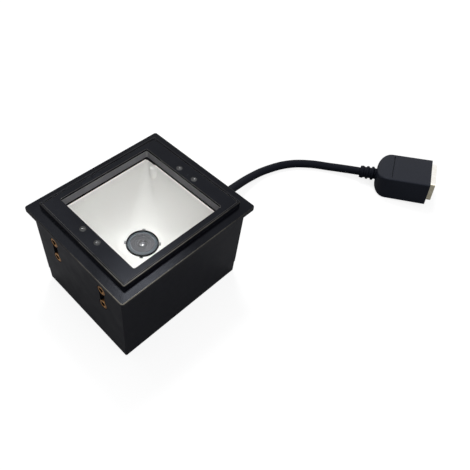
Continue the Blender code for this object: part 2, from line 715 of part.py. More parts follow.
def cord_route():
    """The route's own points: a straight bit at each end and the chosen points between."""
    start, out, end, back = cord_ends()
    straight = 3 * CORD_RADIUS
    return [start, start + out * straight] + [Vector(p) for p in CORD_ROUTE] + [end + back * straight, end]


def cord_points():
    """Points at even steps along the smooth curve through the route."""
    route = cord_route()
    _, out, _, back = cord_ends()
    tangents = [out] + [(b - a).normalized() for a, b in zip(route, route[2:])] + [-back]
    fine = []
    for k in range(len(route) - 1):
        reach = (route[k + 1] - route[k]).length * CORD_TURN
        knots = (route[k], route[k] + tangents[k] * reach, route[k + 1] - tangents[k + 1] * reach, route[k + 1])
        fine += interpolate_bezier(*knots, CORD_SMOOTHING)[:-1]
    fine.append(route[-1])
    lengths = [0.0]
    for a, b in zip(fine, fine[1:]):
        lengths.append(lengths[-1] + (b - a).length)
    count = max(2, round(lengths[-1] / CORD_STEP))
    points = []
    for k in range(count + 1):
        wanted = lengths[-1] * k / count
        low = max(i for i in range(len(fine) - 1) if lengths[i] <= wanted)
        share = (wanted - lengths[low]) / (lengths[low + 1] - lengths[low])
        points.append(fine[low].lerp(fine[low + 1], min(share, 1.0)))
    return points


def cord():
    """The cord: a plain round tube from the boot to the socket's relief."""
    curve = bpy.data.curves.new("cord", "CURVE")
    curve.dimensions = "3D"
    curve.bevel_depth = CORD_RADIUS
    curve.bevel_resolution = 4
    curve.use_fill_caps = True
    points = cord_points()
    spline = curve.splines.new("POLY")
    spline.points.add(len(points) - 1)
    for target, point in zip(spline.points, points):
        target.co = (*point, 1.0)
    curve.materials.append(material("cord", CORD_SHEATH))
    bpy.context.scene.collection.objects.link(bpy.data.objects.new("cord", curve))


def shell_ring(x, narrow, low, high):
    """A ring across the socket's shell at one place along it."""
    half = SHELL_WIDTH / 2 - narrow
    middle = (low + high) / 2
    ring = rounded_rectangle((high - low) / 2, half, SHELL_EDGE + narrow * 0.6)
    return [Vector((middle + point.x, point.y, x)) for point in ring]


def socket_shell():
    """The moulded shell: round shoulders at the cord's end, a groove across its top and the jack's pocket."""
    rings = [shell_ring(along, narrow, drop, SHELL_HEIGHT - drop) for along, narrow, drop in shell_stations()]
    shell = place_mesh("socket_shell", stack(rings), SOCKET_PLASTIC, along_socket(0, 0))
    groove = block(SHELL_GROOVE / 2, SHELL_GROOVE_WIDTH / 2, SHELL_HEIGHT - SHELL_GROOVE, SHELL_HEIGHT + CUT)
    place = socket_frame() @ at(-SHELL_GROOVE_PLACE, 0, 0)
    combine(shell, helper("socket_groove_cut", groove, place), "DIFFERENCE")
    pocket = block(
        JACK_HEIGHT / 2 + SEAT, JACK_WIDTH / 2 + SEAT, -JACK_DEPTH - SEAT, CUT, JACK_CORNER + SEAT
    )
    combine(shell, helper("socket_pocket_cut", pocket, along_socket(0, jack_height())), "DIFFERENCE")


def jack_height():
    return SHELL_HEIGHT / 2 + JACK_RAISE


def socket_relief():
    """The ribbed relief that leads the cord into the shell."""
    profile = []
    place = -relief_length()
    for k in range(RELIEF_RIBS):
        grown = 0.92 + 0.04 * k
        start = place + k * (RELIEF_RIB_LENGTH + RELIEF_GAP)
        profile.append((RELIEF_RIB * grown - RELIEF_GAP / 4, start))
        profile.append((RELIEF_RIB * grown, start + RELIEF_RIB_LENGTH * 0.25))
        profile.append((RELIEF_RIB * grown, start + RELIEF_RIB_LENGTH * 0.75))
        profile.append((RELIEF_RADIUS, start + RELIEF_RIB_LENGTH))
        profile.append((RELIEF_RADIUS, start + RELIEF_RIB_LENGTH + RELIEF_GAP - SEAT))
    place_mesh("socket_relief", turned(profile, 20), CORD_SHEATH, along_socket(-SHELL_LENGTH, SHELL_HEIGHT / 2))


def jack():
    """The plated shield, the insulator with the port in it, and the contacts that slope into the port."""
    half_h = JACK_HEIGHT / 2
    half_w = JACK_WIDTH / 2
    inner = JACK_SHEET
    rings = [
        (half_h, half_w, JACK_CORNER, -JACK_DEPTH),
        (half_h, half_w, JACK_CORNER, JACK_REACH),
        (half_h - inner, half_w - inner, JACK_CORNER - inner, JACK_REACH),
        (half_h - inner, half_w - inner, JACK_CORNER - inner, -JACK_DEPTH),
    ]
    mesh = stack([rounded_rectangle(*ring, steps=3) for ring in rings], closed=True)
    place_mesh("jack_shield", mesh, JACK_PLATING, along_socket(0, jack_height()))
    solid = block(half_h - inner - SEAT, half_w - inner - SEAT, -JACK_DEPTH + SEAT, JACK_REACH - JACK_SHEET)
    insulator = place_mesh("jack_insulator", solid, JACK_PLASTIC, along_socket(0, jack_height()))
    port = block(PORT_HEIGHT / 2, PORT_WIDTH / 2, JACK_REACH - PORT_DEPTH, JACK_REACH + CUT)
    combine(insulator, helper("port_cut", port, along_socket(0, port_height())), "DIFFERENCE")
    latch = block(LATCH_HEIGHT, LATCH_WIDTH / 2, JACK_REACH - PORT_DEPTH * 0.7, JACK_REACH + CUT)
    low = port_height() - PORT_HEIGHT / 2
    combine(insulator, helper("latch_cut", latch, along_socket(0, low)), "DIFFERENCE")
    contacts()


def port_height():
    return jack_height() + PORT_RAISE


def contacts():
    """Spring wires: each lies along the port's roof and slopes down and back into it."""
    roof = port_height() + PORT_HEIGHT / 2 - SEAT
    mouth = JACK_REACH - SEAT - CONTACT_THICKNESS * 4
    half = CONTACT_WIDTH / 2
    for k in range(CONTACTS):
        across = (k - (CONTACTS - 1) / 2) * CONTACT_PITCH
        mesh = bmesh.new()
        path = [
            (mouth, roof),
            (mouth - CONTACT_LENGTH, roof - CONTACT_DROP),
            (mouth - CONTACT_LENGTH, roof - CONTACT_DROP - CONTACT_THICKNESS),
            (mouth - CONTACT_THICKNESS, roof - CONTACT_THICKNESS),
        ]
        near = [mesh.verts.new((x, across - half, z)) for x, z in path]
        far = [mesh.verts.new((x, across + half, z)) for x, z in path]
        mesh.faces.new(near)
        mesh.faces.new(far[::-1])
        for i in range(len(path)):
            after = (i + 1) % len(path)
            mesh.faces.new((near[i], far[i], far[after], near[after]))
        place_mesh(f"contact_{k + 1}", mesh, CONTACT_GOLD, socket_frame())


def main():
    clear_scene()
    housing()
    window_frame()
    window_collar()
    window_pane()
    light_pipes()
    reflector()
    lens_ring()
    lens_cover()
    camera()
    bottom_cover()
    brass_inserts()
    cord_boot()
    cord()
    socket_shell()
    socket_relief()
    jack()


main()
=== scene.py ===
"""Looks of a fixed-mount barcode scanner: a flanged black housing with a window, a white bowl and a camera.

Metres, +Z up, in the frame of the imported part. X runs along the flange's short side, and Y along its long
side towards the cord. Each sub-assembly is a class that holds its sizes, builds its meshes and dresses them.
"""

import logging
import math
from dataclasses import dataclass
from enum import Enum
from typing import Iterable, Optional, Sequence, Union

import bmesh
import bpy
from mathutils import Matrix, Vector


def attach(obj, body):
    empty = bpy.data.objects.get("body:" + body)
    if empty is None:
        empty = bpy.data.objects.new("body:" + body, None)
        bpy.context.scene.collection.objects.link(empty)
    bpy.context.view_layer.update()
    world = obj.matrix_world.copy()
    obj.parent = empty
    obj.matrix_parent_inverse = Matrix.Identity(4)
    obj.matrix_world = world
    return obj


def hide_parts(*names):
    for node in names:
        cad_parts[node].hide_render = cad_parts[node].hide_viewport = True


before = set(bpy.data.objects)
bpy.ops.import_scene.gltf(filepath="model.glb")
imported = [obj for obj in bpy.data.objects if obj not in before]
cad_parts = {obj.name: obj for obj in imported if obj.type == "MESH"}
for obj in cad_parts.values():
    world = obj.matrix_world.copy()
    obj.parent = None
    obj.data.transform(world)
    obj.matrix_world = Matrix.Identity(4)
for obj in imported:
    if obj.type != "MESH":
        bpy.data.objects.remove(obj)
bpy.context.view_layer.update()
LOG = logging.getLogger("scanner")

# The gap that the solids keep where pieces meet.
SEAT = 0.0003
# A gap or a step that is too small to see.
HAIR = 0.00005
# How far a cutting shape passes the face that it cuts.
OVERCUT = 0.001
# Points that are this close together are one point.
SAME_POINT = 1e-7
# Points that are this close to a plane or an outline lie on it.
ON_PLANE = 1e-6
# The corner of an outline that is a circle, as a share of its half width.
ROUND = 0.995
# The greatest Z that the normal of an upright face has, and the least one that a level face's has.
UPRIGHT = 0.1
LEVEL = 0.99
ROOT = "root"
TOOL_MARKS = "tool_marks"
# The attribute of worn edges, whose pale colour is also a painted highlight.
EDGE_WEAR_AND_SHEEN = "edge_wear_and_sheen"
HERE = Matrix.Identity(4)
# The two hands of a long end, by the side of X.
HANDS = (("left", -1), ("right", 1))

Ring = tuple[float, float, float, float]
Profile = Sequence[tuple[float, float]]


class Join(Enum):
    """How a tool shape changes the piece that it meets."""

    ADD = "UNION"
    CUT = "DIFFERENCE"


class End(Enum):
    """The two long ends of the housing, by the side of Y that they face."""

    FRONT = -1
    BACK = 1


def linear(code: str) -> tuple[float, float, float, float]:
    """Turns an sRGB hex colour into the linear one that a shader takes.

    Args:
        code: the colour as "#rrggbb".

    Returns:
        Linear red, green and blue, and an alpha of 1.
    """
    parts = [int(code[k : k + 2], 16) / 255 for k in (1, 3, 5)]
    red, green, blue = (c / 12.92 if c <= 0.04045 else ((c + 0.055) / 1.055) ** 2.4 for c in parts)
    return red, green, blue, 1.0


def add_node(
    tree: bpy.types.NodeTree,
    kind: str,
    settings: Optional[dict] = None,
    links: Optional[dict] = None,
) -> bpy.types.Node:
    """Adds one node with its settings and links.

    Args:
        tree: the node tree that gets it.
        kind: Blender's type name of the node.
        settings: values by the name of a property, or by the name or number of an input.
        links: outputs that feed it, by the name or number of the input.

    Returns:
        The node.
    """
    node = tree.nodes.new(kind)
    for name, value in (settings or {}).items():
        if isinstance(name, str) and hasattr(node, name):
            setattr(node, name, value)
        else:
            node.inputs[name].default_value = value
    for name, source in (links or {}).items():
        tree.links.new(source, node.inputs[name])
    return node


def empty_material(name: str) -> tuple[bpy.types.Material, bpy.types.NodeTree, bpy.types.Node]:
    """Makes a material with nothing but its output.

    Args:
        name: what the material is.

    Returns:
        The material, its node tree and its output node.
    """
    made = bpy.data.materials.new(name)
    made.use_nodes = True
    made.node_tree.nodes.clear()
    return made, made.node_tree, add_node(made.node_tree, "ShaderNodeOutputMaterial")


def per_metre(millimetres: float) -> float:
    """The scale of a pattern on object coordinates whose features are that many millimetres apart."""
    return 1000.0 / millimetres


@dataclass(frozen=True)
class MouldedPlastic:
    """An injection-moulded thermoplastic with the fine spark-eroded grain of its mould.

    The cloud, the grain and the grain's depth are in millimetres. The real grain of about 0.05 mm is too fine
    to show, so it is drawn a few times as coarse.
    """

    name: str
    colour: str
    worn: str
    edge: str
    roughness: float = 0.5
    unevenness: float = 0.06
    polish: float = 0.15
    shine: float = 0.1
    grain: float = 0.35
    depth: float = 0.012
    cloud: float = 16.0
    gloss: str = "#ffffff"
    glow: float = 0.0

    def material(self) -> bpy.types.Material:
        """Broad patches of slightly paler plastic over a fine grain, and pale smooth edges that are partly
        worn by hands and partly a painted highlight.

        Returns:
            The material.
        """
        made, tree, output = empty_material(self.name)
        place = add_node(tree, "ShaderNodeTexCoord").outputs["Object"]
        cloud = add_node(
            tree,
            "ShaderNodeTexNoise",
            {"Scale": per_metre(self.cloud), "Detail": 3.0, "Roughness": 0.55},
            {"Vector": place},
        )
        grain = add_node(
            tree,
            "ShaderNodeTexNoise",
            {"Scale": per_metre(self.grain), "Detail": 2.0, "Roughness": 0.5},
            {"Vector": place},
        )
        patch = add_node(
            tree,
            "ShaderNodeMapRange",
            {"From Min": 0.35, "From Max": 0.7},
            {"Value": cloud.outputs["Fac"]},
        )
        body = add_node(
            tree,
            "ShaderNodeMix",
            {"data_type": "RGBA", 6: linear(self.colour), 7: linear(self.worn)},
            {0: patch.outputs["Result"]},
        )
        edges = add_node(tree, "ShaderNodeAttribute", {"attribute_name": EDGE_WEAR_AND_SHEEN})
        uneven = add_node(
            tree,
            "ShaderNodeMapRange",
            {"From Min": 0.3, "From Max": 0.6, "To Min": 0.5, "To Max": 1.0},
            {"Value": cloud.outputs["Fac"]},
        )
        sheen_and_wear = add_node(
            tree,
            "ShaderNodeMath",
            {"operation": "MULTIPLY"},
            {0: edges.outputs["Fac"], 1: uneven.outputs["Result"]},
        )
        # Worn edges take the pale edge colour, which is also a painted highlight.
        colour = add_node(
            tree,
            "ShaderNodeMix",
            {"data_type": "RGBA", 7: linear(self.edge)},
            {0: sheen_and_wear.outputs[0], 6: body.outputs[2]},
        )
        matt = add_node(
            tree,
            "ShaderNodeMapRange",
            {
                "From Min": 0.25,
                "From Max": 0.75,
                "To Min": self.roughness - self.unevenness,
                "To Max": self.roughness + self.unevenness,
            },
            {"Value": cloud.outputs["Fac"]},
        )
        rough = add_node(
            tree,
            "ShaderNodeMath",
            {"operation": "MULTIPLY_ADD", 1: -self.polish},
            {0: sheen_and_wear.outputs[0], 2: matt.outputs["Result"]},
        )
        bump = add_node(
            tree,
            "ShaderNodeBump",
            {"Strength": 1.0, "Distance": self.depth / 1000},
            {"Height": grain.outputs["Fac"]},
        )
        # A glow above 0 makes the surface give off its edge colour: painted light, since the part is no lamp.
        shader = add_node(
            tree,
            "ShaderNodeBsdfPrincipled",
            {
                "IOR": 1.53,
                "Specular IOR Level": self.shine,
                "Specular Tint": linear(self.gloss),
                "Emission Color": linear(self.edge),
                "Emission Strength": self.glow,
            },
            {
                "Base Color": colour.outputs[2],
                "Roughness": rough.outputs[0],
                "Normal": bump.outputs["Normal"],
            },
        )
        tree.links.new(shader.outputs["BSDF"], output.inputs["Surface"])
        return made


@dataclass(frozen=True)
class ClearAcrylic:
    """Clear cast acrylic with a coating that takes most of the glare off it."""

    name: str
    tint: str
    glare: str
    roughness: float = 0.03
    grain: float = 6.0

    def material(self) -> bpy.types.Material:
        """A sheet that shows only in its edges and in a faint gloss, and lets the lamps through to the bowl.

        Returns:
            The material.
        """
        made, tree, output = empty_material(self.name)
        place = add_node(tree, "ShaderNodeTexCoord").outputs["Object"]
        smear = add_node(
            tree,
            "ShaderNodeTexNoise",
            {"Scale": per_metre(self.grain), "Detail": 4.0},
            {"Vector": place},
        )
        rough = add_node(
            tree,
            "ShaderNodeMapRange",
            {"To Min": self.roughness * 0.5, "To Max": self.roughness * 1.5},
            {"Value": smear.outputs["Fac"]},
        )
        sheet = add_node(
            tree,
            "ShaderNodeBsdfPrincipled",
            {
                "Base Color": linear(self.tint),
                "IOR": 1.49,
                "Transmission Weight": 1.0,
                "Specular Tint": linear(self.glare),
            },
            {"Roughness": rough.outputs["Result"]},
        )
        open_way = add_node(tree, "ShaderNodeBsdfTransparent", {"Color": linear(self.tint)})
        rays = add_node(tree, "ShaderNodeLightPath")
        mixed = add_node(
            tree,
            "ShaderNodeMixShader",
            {},
            {0: rays.outputs["Is Shadow Ray"], 1: sheet.outputs[0], 2: open_way.outputs[0]},
        )
        tree.links.new(mixed.outputs[0], output.inputs["Surface"])
        return made


@dataclass(frozen=True)
class GlossyPlastic:
    """A polished moulding, such as a light pipe or a lens window, whose colour changes a little inside it."""

    name: str
    colour: str
    second: str
    roughness: float = 0.15
    shine: float = 0.5
    coat: float = 0.0
    grain: float = 1.2
    depth: float = 0.004

    def material(self) -> bpy.types.Material:
        """Small sharp highlights on a dark body with faint mottling.

        Returns:
            The material.
        """
        made, tree, output = empty_material(self.name)
        place = add_node(tree, "ShaderNodeTexCoord").outputs["Object"]
        mottle = add_node(
            tree,
            "ShaderNodeTexNoise",
            {"Scale": per_metre(self.grain), "Detail": 3.0},
            {"Vector": place},
        )
        colour = add_node(
            tree,
            "ShaderNodeMix",
            {"data_type": "RGBA", 6: linear(self.colour), 7: linear(self.second)},
            {0: mottle.outputs["Fac"]},
        )
        rough = add_node(
            tree,
            "ShaderNodeMapRange",
            {"To Min": self.roughness * 0.7, "To Max": self.roughness * 1.3},
            {"Value": mottle.outputs["Fac"]},
        )
        bump = add_node(
            tree,
            "ShaderNodeBump",
            {"Strength": 1.0, "Distance": self.depth / 1000},
            {"Height": mottle.outputs["Fac"]},
        )
        shader = add_node(
            tree,
            "ShaderNodeBsdfPrincipled",
            {
                "IOR": 1.5,
                "Specular IOR Level": self.shine,
                "Coat Weight": self.coat,
                "Coat Roughness": 0.05,
            },
            {
                "Base Color": colour.outputs[2],
                "Roughness": rough.outputs["Result"],
                "Normal": bump.outputs["Normal"],
            },
        )
        tree.links.new(shader.outputs["BSDF"], output.inputs["Surface"])
        return made


@dataclass(frozen=True)
class WorkedMetal:
    """A turned, plated or stamped metal whose tool marks follow the piece's own marks attribute.

    The pitch and depth of the marks and the size of a patch are in millimetres. Real marks are finer, and are
    drawn this coarse so that they show.
    """

    name: str
    colour: str
    tarnish: str
    roughness: float = 0.3
    pitch: float = 0.12
    depth: float = 0.003
    patch: float = 1.5

    def material(self) -> bpy.types.Material:
        """Fine lines along the tool's way, and duller darker patches where the metal has tarnished.

        Returns:
            The material.
        """
        made, tree, output = empty_material(self.name)
        place = add_node(tree, "ShaderNodeTexCoord").outputs["Object"]
        marks = add_node(tree, "ShaderNodeAttribute", {"attribute_name": TOOL_MARKS})
        turns = add_node(
            tree,
            "ShaderNodeMath",
            {"operation": "MULTIPLY", 1: 2 * math.pi / self.pitch},
            {0: marks.outputs["Fac"]},
        )
        lines = add_node(tree, "ShaderNodeMath", {"operation": "SINE"}, {0: turns.outputs[0]})
        cloud = add_node(
            tree,
            "ShaderNodeTexNoise",
            {"Scale": per_metre(self.patch), "Detail": 4.0, "Roughness": 0.6},
            {"Vector": place},
        )
        dull = add_node(
            tree,
            "ShaderNodeMapRange",
            {"From Min": 0.4, "From Max": 0.75},
            {"Value": cloud.outputs["Fac"]},
        )
        colour = add_node(
            tree,
            "ShaderNodeMix",
            {"data_type": "RGBA", 6: linear(self.colour), 7: linear(self.tarnish)},
            {0: dull.outputs["Result"]},
        )
        rough = add_node(
            tree,
            "ShaderNodeMapRange",
            {"To Min": self.roughness * 0.8, "To Max": self.roughness * 1.4},
            {"Value": cloud.outputs["Fac"]},
        )
        bump = add_node(
            tree,
            "ShaderNodeBump",
            {"Strength": 0.6, "Distance": self.depth / 1000},
            {"Height": lines.outputs[0]},
        )
        shader = add_node(
            tree,
            "ShaderNodeBsdfPrincipled",
            {"Metallic": 1.0},
            {
                "Base Color": colour.outputs[2],
                "Roughness": rough.outputs["Result"],
                "Normal": bump.outputs["Normal"],
            },
        )
        tree.links.new(shader.outputs["BSDF"], output.inputs["Surface"])
        return made


Finish = Union[MouldedPlastic, ClearAcrylic, GlossyPlastic, WorkedMetal]

# Black ABS of the flange, rim and bottom cover, spark-eroded mould: dark, with a sheen towards a lamp.
# Its beige edge colour is worn plastic and a painted highlight together.
HOUSING_ABS = MouldedPlastic(
    "housing_abs", "#0c0d13", "#101117", "#a49f92", roughness=0.2, shine=0.1, gloss="#d2d8e6"
)
# The same ABS on the walls, with a coarser erosion: a satin face that shows the lit and the shaded paper.
WALL_ABS = MouldedPlastic(
    "wall_abs",
    "#0d0e14",
    "#121319",
    "#5a5854",
    roughness=0.4,
    shine=0.2,
    grain=0.6,
    cloud=9.0,
    gloss="#d2d8e6",
)
# The same ABS on the frame's plate, with a finer erosion: an even sheet, a shade paler than the rim round it.
FRAME_ABS = MouldedPlastic(
    "frame_abs", "#0e0f15", "#121319", "#6c6a66", roughness=0.25, shine=0.11, grain=0.3, gloss="#d2d8e6"
)
# Grey filled plastic of the collar: clearly paler than the frame.
COLLAR_ABS = MouldedPlastic(
    "collar_abs", "#828285", "#8a8a8d", "#b8b6b4", roughness=0.5, shine=0.2, grain=0.3
)
# Satin white polycarbonate of the bowl: bright and even, with no grain to be seen.
BOWL_WHITE = MouldedPlastic(
    "bowl_white_polycarbonate",
    "#efedea",
    "#f1f0ed",
    "#f8f6f3",
    roughness=0.5,
    shine=0.3,
    grain=0.8,
    depth=0.004,
)
# The same polycarbonate on the bowl's rim, made to glow: painted light that draws a crisp pale line.
RIM_PAINTED_GLOW = MouldedPlastic(
    "bowl_rim_painted_glow",
    "#f4f0ed",
    "#f7f4f2",
    "#fff6f2",
    roughness=0.5,
    shine=0.3,
    grain=0.8,
    depth=0.004,
    glow=0.3,
)
# Painted shadow on the bowl's level rim under the pane: a thin dark line under the collar.
RIM_PAINTED_SHADOW = MouldedPlastic(
    "rim_painted_shadow", "#1a1a1c", "#222224", "#2a2a2c", roughness=0.8, shine=0.02, grain=0.2
)
# Clear cast acrylic of the pane, coated against glare: nearly out of sight, with only a breath of gloss.
PANE_ACRYLIC = ClearAcrylic("pane_acrylic", "#fcfdfd", glare="#5a5a5c", roughness=0.004)
# Smoky polished light pipes: dark, with a bright spot in the dish.
PIPE_ACRYLIC = GlossyPlastic("pipe_acrylic", "#1c1e20", "#2c2e30", roughness=0.08, shine=0.5, coat=0.3)
# Matt black polycarbonate of the lens ring and the camera's holder: a dark outline in the white bowl.
LENS_RING_BLACK = GlossyPlastic("lens_ring_black", "#050608", "#090a0d", roughness=0.5, shine=0.06)
# Painted light on the upper faces of the ring's tabs: a mid grey, where the white bowl lights them.
TAB_PAINTED_LIGHT = GlossyPlastic("tab_painted_light", "#8a8a88", "#989896", roughness=0.5, shine=0.2)
# Smoked cover of the camera: a bluish grey rim round a browner grey middle.
COVER_RIM_SMOKE = GlossyPlastic("cover_rim_smoke", "#545d64", "#5e676f", roughness=0.32, shine=0.9)
COVER_DISH_SMOKE = GlossyPlastic("cover_dish_smoke", "#4a4a4e", "#545458", roughness=0.25, shine=0.3)
# Glass bead of the camera's front lens.
LENS_BEAD = GlossyPlastic("lens_bead_glass", "#3c3c40", "#48484c", roughness=0.06, shine=1.0, coat=1.0)
# Turned brass of the inserts: orange brown with fine turning lines.
TURNED_BRASS = WorkedMetal("turned_brass", "#e0ab74", "#7c5630", roughness=0.34, patch=0.9)
# Painted shade on the same brass in the bores and the unlit sides of their mouths: the bores read as black
# holes.
BORE_PAINTED_SHADE = WorkedMetal("brass_painted_shade", "#20170e", "#120d08", roughness=0.5)
# Zinc plated steel of the screws.
ZINC_STEEL = WorkedMetal("zinc_steel", "#a9abae", "#84868a", roughness=0.35)
# Tin plated sheet of the socket's shield: almost white where it faces up.
TIN_SHEET = WorkedMetal("tin_sheet", "#f6f4f0", "#e6e1d6", roughness=0.28, pitch=0.3, patch=4.0)
# Painted shade on the cut and folded sides of the same sheet: a warmer, darker tin than its top.
TIN_SIDE_SHADE = WorkedMetal("tin_side_painted_shade", "#f2ead2", "#dcd2b6", roughness=0.35, pitch=0.3, patch=3.0)
# Gold flash on the contacts.
GOLD_FLASH = WorkedMetal("gold_flash", "#e3bd62", "#c79a45", roughness=0.22)
# Soft PVC of the cord, the boot and the relief: blue-black with a dull sheen.
CORD_PVC = MouldedPlastic(
    "cord_pvc",
    "#0c0e16",
    "#11131b",
    "#1c1e26",
    roughness=0.55,
    shine=0.1,
    grain=0.5,
    cloud=9.0,
    gloss="#d2d8e6",
)
# Moulded PVC of the socket's shell: a little greyer than the cord, with a fine grain.
SOCKET_PVC = MouldedPlastic(
    "socket_pvc", "#141720", "#191c25", "#2e3038", roughness=0.42, shine=0.24, grain=0.4, gloss="#d2d8e6"
)
# Black nylon of the jack's insulator.
JACK_NYLON = MouldedPlastic("jack_nylon", "#1d1d1f", "#222225", "#2c2c2e", roughness=0.45, shine=0.2)
# Green solder mask over the board.
SOLDER_MASK = MouldedPlastic(
    "solder_mask",
    "#12492a",
    "#1a5c36",
    "#2a6a44",
    roughness=0.35,
    shine=0.5,
    grain=1.5,
    depth=0.02,
    cloud=3.0,
)
# Black epoxy of the processor.
CHIP_EPOXY = MouldedPlastic(
    "chip_epoxy", "#151517", "#1b1b1d", "#242426", roughness=0.6, shine=0.3, grain=0.2
)


class Workshop:
    """The materials that have been made so far, each of them once."""

    def __init__(self) -> None:
        """Starts with no material."""
        self.made: dict[str, bpy.types.Material] = {}

    def material(self, finish: Finish) -> bpy.types.Material:
        """The material of a finish.

        Args:
            finish: the finish.

        Returns:
            Its material, made at its first use.
        """
        if finish.name not in self.made:
            self.made[finish.name] = finish.material()
        return self.made[finish.name]


SHOP = Workshop()


def quarter_turn(steps: int) -> list[float]:
    """Angles from 0 to a right angle in even steps, with both ends."""
    return [k * math.pi / (2 * steps) for k in range(steps + 1)]


def empty_mesh() -> bmesh.types.BMesh:
    """A mesh with nothing in it but the layer that marks its worn edges and their painted highlight."""
    mesh = bmesh.new()
    mesh.faces.layers.float.new(EDGE_WEAR_AND_SHEEN)
    return mesh


def outline(mesh: bmesh.types.BMesh, ring: Ring, centre: tuple[float, float], segments: int) -> None:
    """Adds a rectangle of edges whose corners are arcs.

    Args:
        mesh: the empty mesh that gets it.
        ring: half width, half length, corner and height.
        centre: the place of its middle.
        segments: edges in each corner.
    """
    half_x, half_y, corner, z = ring
    place = Matrix.Translation((*centre, z)) @ Matrix.Diagonal((half_x, half_y, 1.0, 1.0))
    corners = bmesh.ops.create_grid(mesh, x_segments=1, y_segments=1, size=1.0, matrix=place)["verts"]
    bmesh.ops.bevel(
        mesh,
        geom=corners,
        offset=corner,
        offset_type="OFFSET",
        segments=segments,
        profile=0.5,
        affect="VERTICES",
        material=-1,
    )


def move_ring(
    points: Iterable[bmesh.types.BMVert], old: Ring, new: Ring, centre: tuple[float, float]
) -> None:
    """Moves the points of one outline to another, each to the same place in its corner.

    Args:
        points: the outline's points.
        old: half width, half length, corner and height that they have.
        new: the same four that they get.
        centre: the place of the middle of both.
    """
    for point in points:
        x, y = point.co.x - centre[0], point.co.y - centre[1]
        across = (abs(x) - old[0] + old[2]) / old[2] * new[2]
        along = (abs(y) - old[1] + old[2]) / old[2] * new[2]
        point.co.x = centre[0] + math.copysign(new[0] - new[2] + across, x)
        point.co.y = centre[1] + math.copysign(new[1] - new[2] + along, y)
        point.co.z = new[3]


def lofted(
    rings: Sequence[Ring],
    closed: bool = False,
    segments: int = 6,
    centre: tuple[float, float] = (0.0, 0.0),
) -> bmesh.types.BMesh:
    """Extrudes an outline from ring to ring.

    Args:
        rings: half width, half length, corner and height of each outline.
        closed: whether the last outline joins the first. Both ends keep their caps otherwise.
        segments: edges in each corner.
        centre: the place of every outline's middle.

    Returns:
        The mesh.
    """
    mesh = empty_mesh()
    outline(mesh, rings[0], centre, segments)
    cap = mesh.faces[:][0]
    edges = cap.edges[:]
    if closed:
        bmesh.ops.delete(mesh, geom=[cap], context="FACES_ONLY")
    steps = list(zip(rings, rings[1:]))
    if closed:
        steps.append((rings[-1], rings[0]))
    for old, new in steps:
        made = bmesh.ops.extrude_edge_only(mesh, edges=edges)["geom"]
        edges = [part for part in made if isinstance(part, bmesh.types.BMEdge)]
        move_ring((part for part in made if isinstance(part, bmesh.types.BMVert)), old, new, centre)
    if closed:
        bmesh.ops.remove_doubles(mesh, verts=mesh.verts, dist=ON_PLANE)
    else:
        bmesh.ops.contextual_create(mesh, geom=edges)
    bmesh.ops.recalc_face_normals(mesh, faces=mesh.faces)
    return mesh


def ring_edges(
    mesh: bmesh.types.BMesh, ring: Ring, centre: tuple[float, float] = (0.0, 0.0)
) -> list[bmesh.types.BMEdge]:
    """The edges that lie on an outline.

    Args:
        mesh: the mesh.
        ring: half width, half length, corner and height of the outline.
        centre: the place of its middle.

    Returns:
        Its edges.
    """
    half_x, half_y, corner, z = ring

    def on_ring(point: bmesh.types.BMVert) -> bool:
        """Whether a point lies in one of the outline's corners."""
        across = abs(point.co.x - centre[0]) - half_x + corner
        along = abs(point.co.y - centre[1]) - half_y + corner
        return abs(point.co.z - z) < ON_PLANE and abs(math.hypot(across, along) - corner) < 2 * ON_PLANE

    return [edge for edge in mesh.edges if all(on_ring(point) for point in edge.verts)]


def round_edges(
    mesh: bmesh.types.BMesh,
    edges: Iterable[bmesh.types.BMEdge],
    radius: float,
    segments: int = 3,
    wear_and_sheen: float = 1.0,
) -> None:
    """wear_and_sheen: how worn the rounding is and how much painted highlight it gets, from 0 to 1.
    """
    made = bmesh.ops.bevel(
        mesh,
        geom=list(edges),
        offset=radius,
        offset_type="OFFSET",
        segments=segments,
        profile=0.5,
        affect="EDGES",
        material=-1,
        clamp_overlap=True,
    )
    layer = mesh.faces.layers.float[EDGE_WEAR_AND_SHEEN]
    for face in made["faces"]:
        face[layer] = wear_and_sheen


def fade_painted_sheen(mesh: bmesh.types.BMesh, corner: Vector, reach: Vector, least: float, cuts: int = 12) -> None:
    """Makes the edges' mark fade with the distance from one corner: a painted highlight, brightest at the
    corner where the lamps' sheen lies.

    Args:
        mesh: the mesh, which is cut both ways so that the wear can change along an edge.
        corner: the place where the mark stays as it is.
        reach: the distances along X and along Y over which it fades.
        least: the share of it that is left farther away.
        cuts: how many times the mesh is cut each way.
    """
    for axis in (Vector((1, 0, 0)), Vector((0, 1, 0))):
        span = 2 * abs(corner.dot(axis))
        for k in range(1, cuts):
            everything = [*mesh.verts, *mesh.edges, *mesh.faces]
            place = axis * span * (k / cuts - 0.5)
            bmesh.ops.bisect_plane(mesh, geom=everything, dist=ON_PLANE, plane_co=place, plane_no=axis)
    layer = mesh.faces.layers.float[EDGE_WEAR_AND_SHEEN]
    for face in mesh.faces:
        away = face.calc_center_median() - corner
        face[layer] *= max(least, 1 - math.hypot(away.x / reach.x, away.y / reach.y))


def spun(profile: Profile, steps: int = 64, closed: bool = False) -> bmesh.types.BMesh:
    """Turns a profile about Z.

    Args:
        profile: (radius, height) of its points.
        steps: faces round the axis.
        closed: whether the last point joins the first, as in a tube's wall.

    Returns:
        The mesh, with its poles closed and its faces outwards.
    """
    mesh = empty_mesh()
    points = [mesh.verts.new((radius, 0.0, z)) for radius, z in profile]
    line = [mesh.edges.new(pair) for pair in zip(points, points[1:])]
    if closed:
        line.append(mesh.edges.new((points[-1], points[0])))
    bmesh.ops.spin(
        mesh,
        geom=points + line,
        cent=(0.0, 0.0, 0.0),
        axis=(0.0, 0.0, 1.0),
        angle=2 * math.pi,
        steps=steps,
        use_merge=True,
    )
    bmesh.ops.remove_doubles(mesh, verts=mesh.verts, dist=SAME_POINT)
    bmesh.ops.recalc_face_normals(mesh, faces=mesh.faces)
    return mesh


